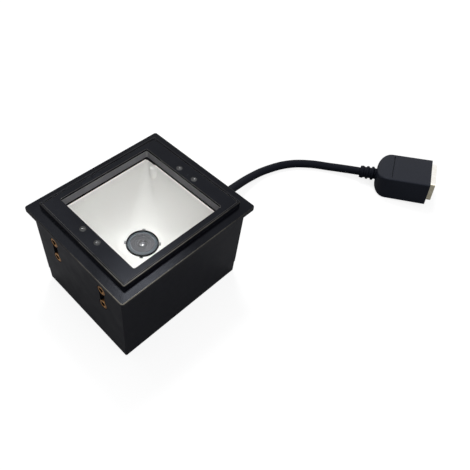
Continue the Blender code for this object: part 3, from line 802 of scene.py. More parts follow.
def box(half_x: float, half_y: float, low: float, high: float, edge: float = 0.0) -> bmesh.types.BMesh:
    """A block about the Z axis, with rounded edges where an edge radius is given."""
    mesh = empty_mesh()
    size = Matrix.Diagonal((2 * half_x, 2 * half_y, high - low, 1.0))
    bmesh.ops.create_cube(mesh, size=1.0, matrix=Matrix.Translation((0.0, 0.0, (low + high) / 2)) @ size)
    if edge:
        round_edges(mesh, mesh.edges, edge)
    return mesh


def peg(radius: float, low: float, high: float, sides: int = 48) -> bmesh.types.BMesh:
    """A round bar about the Z axis, for holes and posts."""
    mesh = empty_mesh()
    bmesh.ops.create_cone(
        mesh,
        cap_ends=True,
        segments=sides,
        radius1=radius,
        radius2=radius,
        depth=high - low,
        matrix=Matrix.Translation((0.0, 0.0, (low + high) / 2)),
    )
    return mesh


def moved(mesh: bmesh.types.BMesh, place: Matrix) -> bmesh.types.BMesh:
    """The same mesh after a transform."""
    bmesh.ops.transform(mesh, matrix=place, verts=mesh.verts)
    return mesh


def at(x: float, y: float, z: float = 0.0) -> Matrix:
    """A shift to a point."""
    return Matrix.Translation((x, y, z))


def facing(end: End, x: float, y: float, z: float) -> Matrix:
    """A frame whose +Z points out of a long end of the housing, with its +Y up."""
    turn = Matrix.Rotation(math.pi, 4, "Z") if end is End.BACK else HERE
    return at(x, y, z) @ turn @ Matrix.Rotation(math.pi / 2, 4, "X")


def as_object(name: str, mesh: bmesh.types.BMesh) -> bpy.types.Object:
    """Puts a mesh into a new object of the scene, and frees it."""
    data = bpy.data.meshes.new(name)
    mesh.to_mesh(data)
    mesh.free()
    made = bpy.data.objects.new(name, data)
    bpy.context.scene.collection.objects.link(made)
    return made


def carve(mesh: bmesh.types.BMesh, tools: Iterable[tuple[bmesh.types.BMesh, Join]]) -> bmesh.types.BMesh:
    """Adds and cuts tool shapes one after another.

    Args:
        mesh: the piece. It is freed.
        tools: each tool's mesh and how it meets the piece. They are freed.

    Returns:
        The carved mesh.
    """
    body = as_object("carved", mesh)
    helpers = []
    for tool, join in tools:
        helper = as_object("carving_tool", tool)
        helpers.append(helper)
        modifier = body.modifiers.new("carving", "BOOLEAN")
        modifier.operation = join.value
        modifier.solver = "MANIFOLD"
        modifier.object = helper
    bpy.context.view_layer.update()
    result = bmesh.new()
    result.from_object(body, bpy.context.evaluated_depsgraph_get())
    for spent in [body, *helpers]:
        data = spent.data
        bpy.data.objects.remove(spent)
        bpy.data.meshes.remove(data)
    return result


def mark_rings(data: bpy.types.Mesh, axis_point: Vector, axis: Vector) -> None:
    """Writes each point's distance from an axis plus its way along it, in millimetres, for the tool marks."""
    marks = data.attributes.new(TOOL_MARKS, "FLOAT", "POINT")
    for point, mark in zip(data.vertices, marks.data):
        offset = point.co - axis_point
        along = offset.dot(axis)
        mark.value = ((offset - along * axis).length + along) * 1000


def finish_piece(
    name: str,
    mesh: bmesh.types.BMesh,
    finishes: Union[Finish, Sequence[Finish]],
    place: Matrix = HERE,
    stands_for: Sequence[str] = (),
    smooth: float = 35.0,
) -> bpy.types.Object:
    """Turns a mesh into a dressed piece that rides on the part.

    Args:
        name: the piece's name.
        mesh: its mesh, which is freed.
        finishes: its finish, or several by the faces' material number.
        place: where it goes.
        stands_for: the CAD nodes that it replaces.
        smooth: faces that meet at less than this many degrees are shaded as one.

    Returns:
        The piece.
    """
    moved(mesh, place)
    bmesh.ops.remove_doubles(mesh, verts=mesh.verts, dist=SAME_POINT)
    bmesh.ops.recalc_face_normals(mesh, faces=mesh.faces)
    made = as_object(name, mesh)
    made.data.shade_smooth()
    made.data.set_sharp_from_angle(angle=math.radians(smooth))
    for each in finishes if isinstance(finishes, list) else [finishes]:
        made.data.materials.append(SHOP.material(each))
    mark_rings(made.data, place.translation, (place.to_3x3() @ Vector((0, 0, 1))).normalized())
    even = made.modifiers.new("even_normals", "WEIGHTED_NORMAL")
    even.keep_sharp = True
    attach(made, ROOT)
    if stands_for:
        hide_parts(*stands_for)
    LOG.info("%s: %d faces", name, len(made.data.polygons))
    return made


def dress_node(name: str, finish: Finish) -> bpy.types.Object:
    """Gives a CAD node that stays in view its finish.

    Args:
        name: the node.
        finish: its finish.

    Returns:
        The node's object.
    """
    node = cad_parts[name]
    node.data.materials.clear()
    node.data.materials.append(SHOP.material(finish))
    LOG.info("%s: CAD node dressed", name)
    return node


@dataclass
class Housing:
    """The moulded tub with its flange, rim, slots and bosses."""

    flange_x: float = 0.0690
    flange_y: float = 0.0787
    flange_top: float = 0.0528
    flange_thickness: float = 0.0024
    flange_corner: float = 0.0013
    flange_edge: float = 0.0004
    body_x: float = 0.0616
    body_y: float = 0.0746
    body_corner: float = 0.0007
    body_foot: float = 0.0004
    wall: float = 0.0024
    rim_x: float = 0.0593
    rim_y: float = 0.0684
    rim_rise: float = 0.0028
    rim_wall: float = 0.0009
    rim_corner: float = 0.0006
    rim_edge: float = 0.00035
    rim_foot: float = 0.0002
    shelf_thickness: float = 0.0042
    pocket_depth: float = 0.0018
    well: float = 0.0269
    post: float = 0.0075
    post_bottom: float = 0.0081
    screw_radius: float = 0.0013
    screw_tip: float = 0.0158
    exit_x: float = -0.0030
    exit_height: float = 0.0140
    exit_radius: float = 0.0047
    # How far the painted highlight on the edges reaches from the near corner, and the share left beyond it.
    painted_sheen_reach: tuple[float, float] = (0.042, 0.078)
    least_painted_sheen: float = 0.08

    @property
    def rim_top(self) -> float:
        """The top of the whole housing."""
        return self.flange_top + self.rim_rise

    @property
    def pocket(self) -> tuple[float, float]:
        """Half width and half length of the pocket inside the rim."""
        return self.rim_x / 2 - self.rim_wall, self.rim_y / 2 - self.rim_wall

    @property
    def cavity(self) -> tuple[float, float]:
        """Half width and half length of the hollow inside the walls."""
        return self.body_x / 2 - self.wall, self.body_y / 2 - self.wall

    def corners(self, x: float, y: float) -> list[tuple[str, float, float]]:
        """Name and place of four points, one in each corner.

        Args:
            x: their distance from the middle along X.
            y: their distance from the middle along Y.

        Returns:
            (name, x, y) of each.
        """
        return [
            (f"{end.name.lower()}_{hand}", side * x, end.value * y) for hand, side in HANDS for end in End
        ]

    def posts(self) -> list[tuple[str, float, float]]:
        """Name and place of each screw post."""
        x, y = (half - self.post / 2 for half in self.cavity)
        return self.corners(x, y)

    def tub(self) -> bmesh.types.BMesh:
        """The shell from its foot over the flange and the rim, and down inside to its foot again.

        Returns:
            The mesh, with the edges that catch the light rounded.
        """
        top, under = self.flange_top, self.flange_top - self.flange_thickness
        body = (self.body_x / 2, self.body_y / 2, self.body_corner)
        flange = (self.flange_x / 2, self.flange_y / 2, self.flange_corner)
        rim = (self.rim_x / 2, self.rim_y / 2, self.rim_corner)
        pocket = (*self.pocket, self.rim_corner)
        well = (self.well, self.well, self.rim_corner)
        cavity = (*self.cavity, self.rim_corner)
        floor = self.rim_top - self.pocket_depth
        shelf = top - self.shelf_thickness
        rings = [
            (*body, 0.0),
            (*body, under),
            (*flange, under),
            (*flange, top),
            (*rim, top),
            (*rim, self.rim_top),
            (*pocket, self.rim_top),
            (*pocket, floor),
            (*well, floor),
            (*well, shelf),
            (*cavity, shelf),
            (*cavity, 0.0),
        ]
        mesh = lofted(rings, closed=True)
        foot, _, flange_low, flange_high, rim_foot, rim_outer, rim_inner = rings[:7]
        # Edges are marked worn and get a painted highlight, which fades away from the near corner where the
        # lamps' sheen lies.
        round_edges(mesh, ring_edges(mesh, foot), self.body_foot, wear_and_sheen=0.3)
        round_edges(mesh, ring_edges(mesh, flange_low), self.flange_edge * 0.5, wear_and_sheen=0.0)
        round_edges(mesh, ring_edges(mesh, flange_high), self.flange_edge, segments=4, wear_and_sheen=0.8)
        round_edges(mesh, ring_edges(mesh, rim_foot), self.rim_foot, segments=2, wear_and_sheen=0.0)
        round_edges(mesh, ring_edges(mesh, rim_outer), self.rim_edge, segments=4)
        round_edges(mesh, ring_edges(mesh, rim_inner), self.rim_edge * 0.4, segments=2, wear_and_sheen=0.2)
        near = Vector((self.flange_x / 2, -self.flange_y / 2, top))
        fade_painted_sheen(mesh, near, Vector(self.painted_sheen_reach), self.least_painted_sheen)
        return mesh

    def tools(self, mounts: "Mounts", window: "Window") -> list[tuple[bmesh.types.BMesh, Join]]:
        """Posts, bosses and every hole of the tub.

        Args:
            mounts: the inserts and slots of the two ends.
            window: the frame and the light pipes.

        Returns:
            Each tool's mesh and how it meets the tub.
        """
        shelf = self.flange_top - self.shelf_thickness
        sunk = self.wall / 2
        made = []
        for _, x, y in self.posts():
            form = box(self.post / 2 + sunk, self.post / 2 + sunk, self.post_bottom, shelf + OVERCUT)
            place = at(x + math.copysign(sunk, x), y + math.copysign(sunk, y))
            made.append((moved(form, place), Join.ADD))
        made += [(boss, Join.ADD) for boss in mounts.bosses(self)]
        for _, x, y in self.posts():
            bore = peg(self.screw_radius + SEAT, self.post_bottom - OVERCUT, self.screw_tip, 24)
            made.append((moved(bore, at(x, y)), Join.CUT))
        made += [(hole, Join.CUT) for hole in mounts.holes(self)]
        made += [(hole, Join.CUT) for hole in window.pin_holes(self)]
        exit_hole = peg(self.exit_radius, -self.wall - OVERCUT, OVERCUT)
        place = facing(End.BACK, self.exit_x, self.body_y / 2, self.exit_height)
        made.append((moved(exit_hole, place), Join.CUT))
        return made

    def build(self, mounts: "Mounts", window: "Window") -> None:
        """Builds the tub and dresses it.

        Args:
            mounts: the inserts and slots of the two ends.
            window: the frame and the light pipes.
        """
        mesh = carve(self.tub(), self.tools(mounts, window))
        for face in mesh.faces:
            face.material_index = int(abs(face.normal.z) < UPRIGHT)
        finish_piece(
            "housing_tub",
            mesh,
            [HOUSING_ABS, WALL_ABS],
            stands_for=["housing"],
        )


@dataclass
class Mounts:
    """The brass inserts and the slots between them, two groups in each long end.

    An insert's waist, collars, mouth and thread are shares of its radius, its depth and its bore.
    """

    across: float = 0.0172
    insert_radius: float = 0.0024
    insert_bore: float = 0.00125
    insert_depth: float = 0.0050
    high: float = 0.0412
    low: float = 0.0303
    slot_width: float = 0.0036
    slot_height: float = 0.0062
    slot_depth: float = 0.0040
    boss_margin: float = 0.0014
    sunk: float = 0.00004
    collar_edge: float = 0.0001
    waist: float = 0.88
    collar_end: float = 0.34
    waist_start: float = 0.40
    mouth: float = 1.32
    countersink: float = 1.26
    thread_start: float = 0.3
    thread_crest: float = 1.14
    thread_pitch: float = 0.0005

    def places(self) -> list[tuple[End, float, str]]:
        """End, X and name of each group."""
        return [
            (end, side * self.across, f"{end.name.lower()}_{hand}") for end in End for hand, side in HANDS
        ]

    def bosses(self, housing: Housing) -> list[bmesh.types.BMesh]:
        """The thick places behind the holes, inside the walls.

        Args:
            housing: the tub.

        Returns:
            Their meshes.
        """
        depth = max(self.insert_depth, self.slot_depth) + self.boss_margin
        half = depth / 2 - housing.wall / 4
        made = []
        for end, x, _ in self.places():
            form = box(
                self.insert_radius + self.boss_margin,
                half,
                self.low - self.insert_radius - self.boss_margin,
                self.high + self.insert_radius + self.boss_margin,
            )
            middle = end.value * (housing.body_y / 2 - housing.wall / 2 - half)
            made.append(moved(form, at(x, middle)))
        return made

    def holes(self, housing: Housing) -> list[bmesh.types.BMesh]:
        """The round holes of the inserts and the slots between them.

        Args:
            housing: the tub.

        Returns:
            Their meshes.
        """
        made = []
        for end, x, _ in self.places():
            wall = end.value * housing.body_y / 2
            for z in (self.high, self.low):
                hole = peg(self.insert_radius + SEAT, -self.insert_depth - SEAT, OVERCUT)
                made.append(moved(hole, facing(end, x, wall, z)))
            slot = box(self.slot_width / 2, self.slot_height / 2, -self.slot_depth, OVERCUT)
            made.append(moved(slot, facing(end, x, wall, (self.high + self.low) / 2)))
        return made

    def insert(self) -> bmesh.types.BMesh:
        """One insert about Z with its mouth up: a threaded bore, and a waist between two collars.

        Painted shade, a near-black brass, covers the bore's deep faces and the sides of its mouth that lie
        away from the light.

        Returns:
            Its mesh.
        """
        bore, outer, depth = self.insert_bore, self.insert_radius, self.insert_depth
        waist = outer * self.waist
        wall = [
            (bore, -depth),
            (outer, -depth),
            (outer, -depth * (1 - self.collar_end)),
            (waist, -depth * (1 - self.waist_start)),
            (waist, -depth * self.waist_start),
            (outer, -depth * self.collar_end),
            (outer, -self.sunk - self.collar_edge),
            (outer - self.collar_edge, -self.sunk),
            (bore * self.mouth, -self.sunk),
            (bore * self.countersink, -self.sunk - HAIR),
        ]
        z = -self.sunk - bore * self.thread_start
        while z > -depth + self.thread_pitch:
            wall += [(bore, z), (bore * self.thread_crest, z - self.thread_pitch / 2)]
            z -= self.thread_pitch
        mesh = spun(wall, 48, closed=True)
        # The bore and the countersink get painted shade, except where the countersink faces the light.
        lit, inner = bore * 0.2, bore * (self.countersink - 0.01)
        for face in mesh.faces:
            middle = face.calc_center_median()
            shaded = middle.x < lit or middle.y > -lit or middle.z < -self.sunk - lit
            face.material_index = int(shaded and middle.xy.length < inner)
        return mesh

    def build(self, housing: Housing) -> None:
        """Builds the eight inserts.

        Args:
            housing: the tub that they are pressed into.
        """
        for end, x, name in self.places():
            for z, level in ((self.high, "high"), (self.low, "low")):
                finish_piece(
                    f"brass_{name}_{level}",
                    self.insert(),
                    [TURNED_BRASS, BORE_PAINTED_SHADE],
                    facing(end, x, end.value * housing.body_y / 2, z),
                    stands_for=[f"insert_{name}_{level}"],
                )


@dataclass
class Window:
    """The black frame plate, the grey collar, the clear pane and the four light pipes."""

    opening: float = 0.0512
    opening_corner: float = 0.0008
    frame_drop: float = 0.0003
    frame_gap: float = HAIR
    frame_thickness: float = 0.0012
    frame_edge: float = 0.0002
    collar_wall: float = 0.0010
    collar_height: float = 0.0037
    collar_edge: float = 0.00015
    pane_gap: float = 0.00045
    pane_thickness: float = 0.0006
    pipe_x: float = 0.0050
    pipe_y: float = 0.0284
    pipe_radius: float = 0.0016
    pipe_lip: float = 0.00125
    pipe_dish: float = 0.0004
    pipe_edge: float = 0.00008
    pin_radius: float = 0.0008
    pin_length: float = 0.0024
    pin_tip: float = 0.00064
    pin_chamfer: float = 0.0002
    pane_edge: float = 0.0001
    corner_painted_highlight: float = 0.6

    def frame_top(self, housing: Housing) -> float:
        """The height of the plate's face."""
        return housing.rim_top - self.frame_drop

    def frame_bottom(self, housing: Housing) -> float:
        """The height of the plate's underside."""
        return self.frame_top(housing) - self.frame_thickness

    def collar_bottom(self, housing: Housing) -> float:
        """The height where the collar ends, just above the pane."""
        return self.frame_bottom(housing) - SEAT - self.collar_height

    def bowl_top(self, housing: Housing) -> float:
        """The height of the bowl's rim, on which the pane rests."""
        return self.collar_bottom(housing) - self.pane_gap - self.pane_thickness - HAIR

    def pin_holes(self, housing: Housing) -> list[bmesh.types.BMesh]:
        """The holes in the shelf for the pins of the light pipes.

        Args:
            housing: the tub.

        Returns:
            Their meshes.
        """
        low = self.frame_bottom(housing) - self.pin_length - SEAT
        high = self.frame_bottom(housing) - SEAT + OVERCUT
        places = housing.corners(self.pipe_x, self.pipe_y)
        return [moved(peg(self.pin_radius + SEAT, low, high, 24), at(x, y)) for _, x, y in places]

    def plate(self, housing: Housing) -> None:
        """The frame's plate with its opening and four round holes.

        Args:
            housing: the tub whose pocket it fills.
        """
        half_x, half_y = (half - self.frame_gap for half in housing.pocket)
        top, bottom = self.frame_top(housing), self.frame_bottom(housing)
        outer = (half_x, half_y, housing.rim_corner - self.frame_gap)
        inner = (self.opening / 2, self.opening / 2, self.opening_corner)
        mesh = lofted([(*outer, bottom), (*outer, top), (*inner, top), (*inner, bottom)], closed=True)
        round_edges(mesh, ring_edges(mesh, (*outer, top)), self.frame_edge)
        round_edges(mesh, ring_edges(mesh, (*inner, top)), self.frame_edge * 0.6)
        radius = self.pipe_radius + self.frame_gap
        holes = [
            (moved(peg(radius, bottom - OVERCUT, top + OVERCUT), at(x, y)), Join.CUT)
            for _, x, y in housing.corners(self.pipe_x, self.pipe_y)
        ]
        finish_piece(
            "frame_plate", carve(mesh, holes), FRAME_ABS, stands_for=["window_frame"]
        )

    def collar(self, housing: Housing) -> None:
        """The grey collar between the plate and the pane, with a painted highlight down its corners.

        Args:
            housing: the tub.
        """
        top, bottom = self.frame_bottom(housing) - SEAT, self.collar_bottom(housing)
        half = self.opening / 2
        outer = (half + self.collar_wall, half + self.collar_wall, housing.rim_corner)
        inner = (half, half, self.opening_corner)
        mesh = lofted([(*outer, bottom), (*outer, top), (*inner, top), (*inner, bottom)], closed=True)
        round_edges(mesh, ring_edges(mesh, (*inner, top)), self.collar_edge)
        round_edges(mesh, ring_edges(mesh, (*inner, bottom)), self.collar_edge)
        layer = mesh.faces.layers.float[EDGE_WEAR_AND_SHEEN]
        # Faces in the corner arcs get a painted highlight.
        for face in mesh.faces:
            turned = min(abs(face.normal.x), abs(face.normal.y)) > UPRIGHT
            if abs(face.normal.z) < UPRIGHT and turned:
                face[layer] = self.corner_painted_highlight
        finish_piece("collar_band", mesh, COLLAR_ABS, stands_for=["window_collar"])

    def pane(self, housing: Housing) -> None:
        """The clear pane between the collar and the bowl's rim.

        Args:
            housing: the tub.
        """
        half = self.opening / 2 + self.collar_wall
        bottom = self.bowl_top(housing) + HAIR
        sheet = (half, half, housing.rim_corner)
        rings = [(*sheet, bottom), (*sheet, bottom + self.pane_thickness)]
        mesh = lofted(rings)
        for ring in rings:
            round_edges(mesh, ring_edges(mesh, ring), self.pane_edge, segments=2)
        finish_piece("pane_sheet", mesh, PANE_ACRYLIC, stands_for=["window_pane"])

    def pipes(self, housing: Housing) -> None:
        """The four dished light pipes on their pins.

        Args:
            housing: the tub.
        """
        bottom = self.frame_bottom(housing)
        top = self.frame_top(housing) - self.frame_gap
        pin = bottom - self.pin_length
        dish = [
            (self.pipe_lip * math.sin(angle), top - self.pipe_dish * math.cos(angle))
            for angle in reversed(quarter_turn(10))
        ]
        profile = [
            (0.0, pin),
            (self.pin_tip, pin),
            (self.pin_radius, pin + self.pin_chamfer),
            (self.pin_radius, bottom),
            (self.pipe_radius, bottom),
            (self.pipe_radius, top - self.pipe_edge),
            (self.pipe_radius - self.pipe_edge, top),
            *dish,
        ]
        for name, x, y in housing.corners(self.pipe_x, self.pipe_y):
            finish_piece(
                f"pipe_{name}",
                spun(profile),
                PIPE_ACRYLIC,
                at(x, y),
                stands_for=[f"light_pipe_{name}"],
            )

    def build(self, housing: Housing) -> None:
        """Builds all of the window.

        Args:
            housing: the tub that it fits into.
        """
        self.plate(housing)
        self.collar(housing)
        self.pane(housing)
        self.pipes(housing)


@dataclass
class Bowl:
    """The white reflector: its wall bends from a square rim down to a floor with a round hole."""

    ledge: float = 0.0007
    wall: float = 0.0015
    bottom: float = 0.0238
    corner: float = 0.0008
    rounding: float = 1.4
    floor: float = 0.0022
    bend: float = 1.25
    rings: int = 40
    rib_radius: float = 0.0022
    rib_depth: float = 0.0040
    rib_place: float = 0.0190
    rib_length: float = 0.0085
    rib_crown: float = 0.0024
    rim_edge: float = 0.00045
    step: float = 0.0002

    def ring(self, turn: float, window: Window, top: float, hole: float, out: float) -> Ring:
        """One outline of the wall.

        Args:
            turn: 0 at the rim and 1 at the floor.
            window: the window above it.
            top: the height of the rim.
            hole: the radius of the hole for the camera.
            out: how far it lies outside the bowl's face.

        Returns:
            Half width, half length, corner and height.
        """
        widest, narrowest = window.opening / 2 - self.ledge, hole + self.floor
        across = math.cos(turn * math.pi / 2) ** self.bend if turn < 1 else 0.0
        down = math.sin(turn * math.pi / 2) ** self.bend
        half = narrowest + (widest - narrowest) * across
        corner = self.corner + (half - self.corner) * turn**self.rounding
        low = self.bottom + self.wall
        z = top - (top - low) * down - out * turn
        return half + out, half + out, min(corner, half * ROUND) + out, z

    def basin(self, housing: Housing, window: Window, top: float, hole: float) -> bmesh.types.BMesh:
        """The wall down to the hole for the camera and up again outside, and the lip that carries the pane.

        Args:
            housing: the tub.
            window: the window above it.
            top: the height of the rim.
            hole: the radius of the hole for the camera.

        Returns:
            The mesh, with the rim's inner edge rounded.
        """
        turns = [k / self.rings for k in range(self.rings + 1)]
        inside = [self.ring(turn, window, top, hole, 0.0) for turn in turns]
        outside = [self.ring(turn, window, top, hole, self.wall) for turn in turns]
        lip = self.lip(window)
        throat = (hole, hole, hole * ROUND)
        rings = [*inside, (*throat, self.bottom + self.wall), (*throat, self.bottom)]
        # The outside of the wall comes up from the floor and ends at the lip's underside.
        rings += outside[:2:-1]
        rings.append((outside[1][0], outside[1][1], self.corner, top - self.wall))
        rings.append((lip, lip, housing.rim_corner, top - self.wall))
        rings.append((lip, lip, housing.rim_corner, top))
        mesh = lofted(rings, closed=True, segments=12)
        round_edges(mesh, ring_edges(mesh, rings[0]), self.rim_edge)
        return mesh

    def lip(self, window: Window) -> float:
        """Half the width of the lip that carries the pane."""
        return window.opening / 2 + window.collar_wall

    def rib(self, lip: float, top: float) -> bmesh.types.BMesh:
        """The half-round rib down the back wall, with a round foot and a domed crown.

        Args:
            lip: half the width of the lip.
            top: the height of the rim.

        Returns:
            Its mesh.
        """
        radius, rise = self.rib_radius, self.rib_radius - self.rib_length
        foot = [(radius * math.sin(a), rise - radius * math.cos(a)) for a in quarter_turn(8)]
        crown = [(radius * math.cos(a), self.rib_crown * (math.sin(a) - 1)) for a in quarter_turn(8)]
        flat = Matrix.Diagonal((1.0, self.rib_depth / (2 * radius), 1.0, 1.0))
        place = at(-self.rib_place, lip - self.rib_depth / 2 - SEAT / 2, top - SEAT)
        return moved(spun(foot + crown), place @ flat)

    def build(self, housing: Housing, window: Window, camera: "Camera") -> None:
        """Builds the bowl with its rib, and the step in its rim beside the rib.

        The rim's rounded edge glows pale with painted light, and its level top is painted black as the shadow
        under the collar.

        Args:
            housing: the tub.
            window: the window above it.
            camera: the camera in its hole.
        """
        top, lip = window.bowl_top(housing), self.lip(window)
        step = box((lip - self.rib_place) / 2, self.ledge + self.wall, top - self.step, top + OVERCUT)
        moved(step, at(-(lip + self.rib_place) / 2, lip))
        basin = self.basin(housing, window, top, camera.hole)
        mesh = carve(basin, [(self.rib(lip, top), Join.ADD), (step, Join.CUT)])
        wall_face = window.opening / 2 - self.ledge - HAIR
        for face in mesh.faces:
            middle = face.calc_center_median()
            on_rim = face.normal.z > UPRIGHT and max(abs(middle.x), abs(middle.y)) > wall_face
            # The rim's rounded faces get the painted glow, and its level top gets the painted shadow.
            if on_rim and middle.z > top - self.step - self.rim_edge:
                face.material_index = 1 if face.normal.z < LEVEL else 2
        finish_piece(
            "reflector_bowl",
            mesh,
            [BOWL_WHITE, RIM_PAINTED_GLOW, RIM_PAINTED_SHADOW],
            stands_for=["reflector"],
            smooth=30.0,
        )


@dataclass
class Camera:
    """The camera at the bottom of the bowl: ring, smoked cover and the bead of its front lens."""

    radius: float = 0.0076
    ring: float = 0.0004
    stand: float = 0.0004
    depth: float = 0.0024
    tab_width: float = 0.0016
    tab_reach: float = 0.0011
    tab_edge: float = 0.00015
    dish_radius: float = 0.0060
    slope: float = 0.0006
    step: float = 0.00018
    steps: int = 3
    step_share: float = 0.2
    bead_radius: float = 0.0022
    bead_height: float = 0.0004

    @property
    def hole(self) -> float:
        """The radius of the bowl's hole."""
        return self.radius + self.ring + SEAT

    def top(self, bowl: Bowl) -> float:
        """The height of the ring's face."""
        return bowl.bottom + bowl.wall + SEAT + self.stand

    def lens_ring(self, bowl: Bowl) -> None:
        """The black ring with a tab on each diagonal. Every tab but the nearest has painted light on its
        upper faces.

        Args:
            bowl: the bowl that it stands in.
        """
        outer, top = self.radius + self.ring, self.top(bowl)
        edge = self.ring / 4
        soft = edge * 0.3
        profile = [
            (outer, top - self.depth),
            (outer, top - edge),
            (outer - soft, top - soft),
            (outer - edge, top),
            (self.radius + soft, top),
            (self.radius, top - soft),
            (self.radius, top - self.depth),
        ]
        tabs = []
        for k in range(4):
            half_x, half_y = self.tab_reach / 2 + edge, self.tab_width / 2
            tab = box(half_x, half_y, top - self.stand - SEAT, top - self.ring / 2, self.tab_edge)
            turn = Matrix.Rotation(math.pi / 4 + k * math.pi / 2, 4, "Z")
            tabs.append((moved(tab, turn @ at(outer + self.tab_reach / 2 - edge, 0.0)), Join.ADD))
        mesh = carve(spun(profile, 96, closed=True), tabs)
        for face in mesh.faces:
            middle = face.calc_center_median()
            # Painted light on the upward faces of every tab but the one nearest the front corner.
            upward = face.normal.z > 0.5
            on_lit_tab = middle.xy.length > outer + edge and middle.x < middle.y + outer
            face.material_index = int(upward and on_lit_tab)
        finish_piece(
            "camera_ring", mesh, [LENS_RING_BLACK, TAB_PAINTED_LIGHT], stands_for=["lens_ring"]
        )

    def cover(self, bowl: Bowl) -> None:
        """The smoked cover: a rim that slopes outwards, a stepped dish and the bead in its middle.

        Args:
            bowl: the bowl that it stands in.
        """
        outer, top = self.radius - HAIR, self.top(bowl) - self.ring / 3
        bottom, sunk = self.top(bowl) - self.depth, top - self.step / 2
        profile = [
            (0.0, bottom),
            (outer, bottom),
            (outer, top - self.slope),
            (self.dish_radius + self.step, top),
            (self.dish_radius, sunk),
            (self.dish_radius - self.step, sunk - self.step),
        ]
        for k in range(1, self.steps + 1):
            radius = self.dish_radius * (1 - self.step_share * k)
            z = sunk - k * self.step
            profile += [(radius, z), (radius - self.step * 0.7, z - self.step)]
        floor = profile[-1][1]
        profile += [
            (self.bead_radius * math.cos(angle), floor + self.bead_height * math.sin(angle))
            for angle in quarter_turn(8)
        ]
        mesh = spun(profile, 96)
        for face in mesh.faces:
            reach = face.calc_center_median().xy.length
            face.material_index = int(reach < self.dish_radius) + int(reach < self.bead_radius)
        finish_piece(
            "camera_cover",
            mesh,
            [COVER_RIM_SMOKE, COVER_DISH_SMOKE, LENS_BEAD],
            stands_for=["lens_cover"],
        )

    def build(self, bowl: Bowl) -> None:
        """Builds the camera, and dresses what carries it out of sight.

        Args:
            bowl: the bowl that it stands in.
        """
        self.lens_ring(bowl)
        self.cover(bowl)
        dress_node("camera_holder", LENS_RING_BLACK)
        dress_node("main_board", SOLDER_MASK)
        dress_node("processor", CHIP_EPOXY)


@dataclass
class Underside:
    """The plate that closes the tub, and its four screws."""

    thickness: float = 0.0022
    edge: float = 0.0003
    board_bottom: float = 0.0062
    head: float = 0.0024
    head_height: float = 0.0012
    head_edge: tuple[tuple[float, float], ...] = ((0.88, 0.0002), (0.97, 0.0003), (1.0, 0.0005))
    recess: float = 0.0011
    recess_depth: float = 0.00096
    thread_start: float = 0.0004
    thread_pitch: float = 0.0007
    thread_root: float = 0.84

    def plate(self, housing: Housing) -> None:
        """The plate with its spacers and stepped screw holes.

        Args:
            housing: the tub that it closes.
        """
        half_x, half_y = (half - SEAT for half in housing.cavity)
        outer = (half_x, half_y, housing.rim_corner - SEAT)
        mesh = lofted([(*outer, 0.0), (*outer, self.thickness)])
        round_edges(mesh, ring_edges(mesh, (*outer, 0.0)), self.edge)
        tools = []
        for _, x, y in housing.posts():
            spacer = peg(housing.post / 2 - SEAT, self.thickness - OVERCUT, self.board_bottom - SEAT)
            tools.append((moved(spacer, at(x, y)), Join.ADD))
        for _, x, y in housing.posts():
            for radius, high in (
                (self.head + SEAT, self.head_height + SEAT),
                (housing.screw_radius + SEAT, self.board_bottom + OVERCUT),
            ):
                tools.append((moved(peg(radius, -OVERCUT, high), at(x, y)), Join.CUT))
        finish_piece(
            "cover_plate",
            carve(mesh, tools),
            HOUSING_ABS,
            stands_for=["bottom_cover"],
        )

    def screw(self, housing: Housing) -> bmesh.types.BMesh:
        """One screw about Z, head down, with a hexagon recess in its head.

        The head's edge is a list of shares of its radius, each with the height that it has there.

        Args:
            housing: the tub, whose posts set the thread.

        Returns:
            Its mesh.
        """
        shank, tip = housing.screw_radius, housing.screw_tip - SEAT
        profile = [(0.0, self.head_edge[0][1])]
        profile += [(self.head * share, height) for share, height in self.head_edge]
        profile += [(self.head, self.head_height), (shank, self.head_height)]
        z = self.head_height + self.thread_start
        while z < tip - shank:
            profile += [(shank, z), (shank * self.thread_root, z + self.thread_pitch / 2)]
            z += self.thread_pitch
        profile.append((0.0, tip))
        recess = peg(self.recess, -OVERCUT, self.recess_depth, sides=6)
        return carve(spun(profile, 48), [(recess, Join.CUT)])

    def build(self, housing: Housing) -> None:
        """Builds the plate and the screws.

        Args:
            housing: the tub.
        """
        self.plate(housing)
        for name, x, y in housing.posts():
            finish_piece(
                f"screw_{name}",
                self.screw(housing),
                ZINC_STEEL,
                at(x, y),
                stands_for=[f"cover_screw_{name}"],
            )


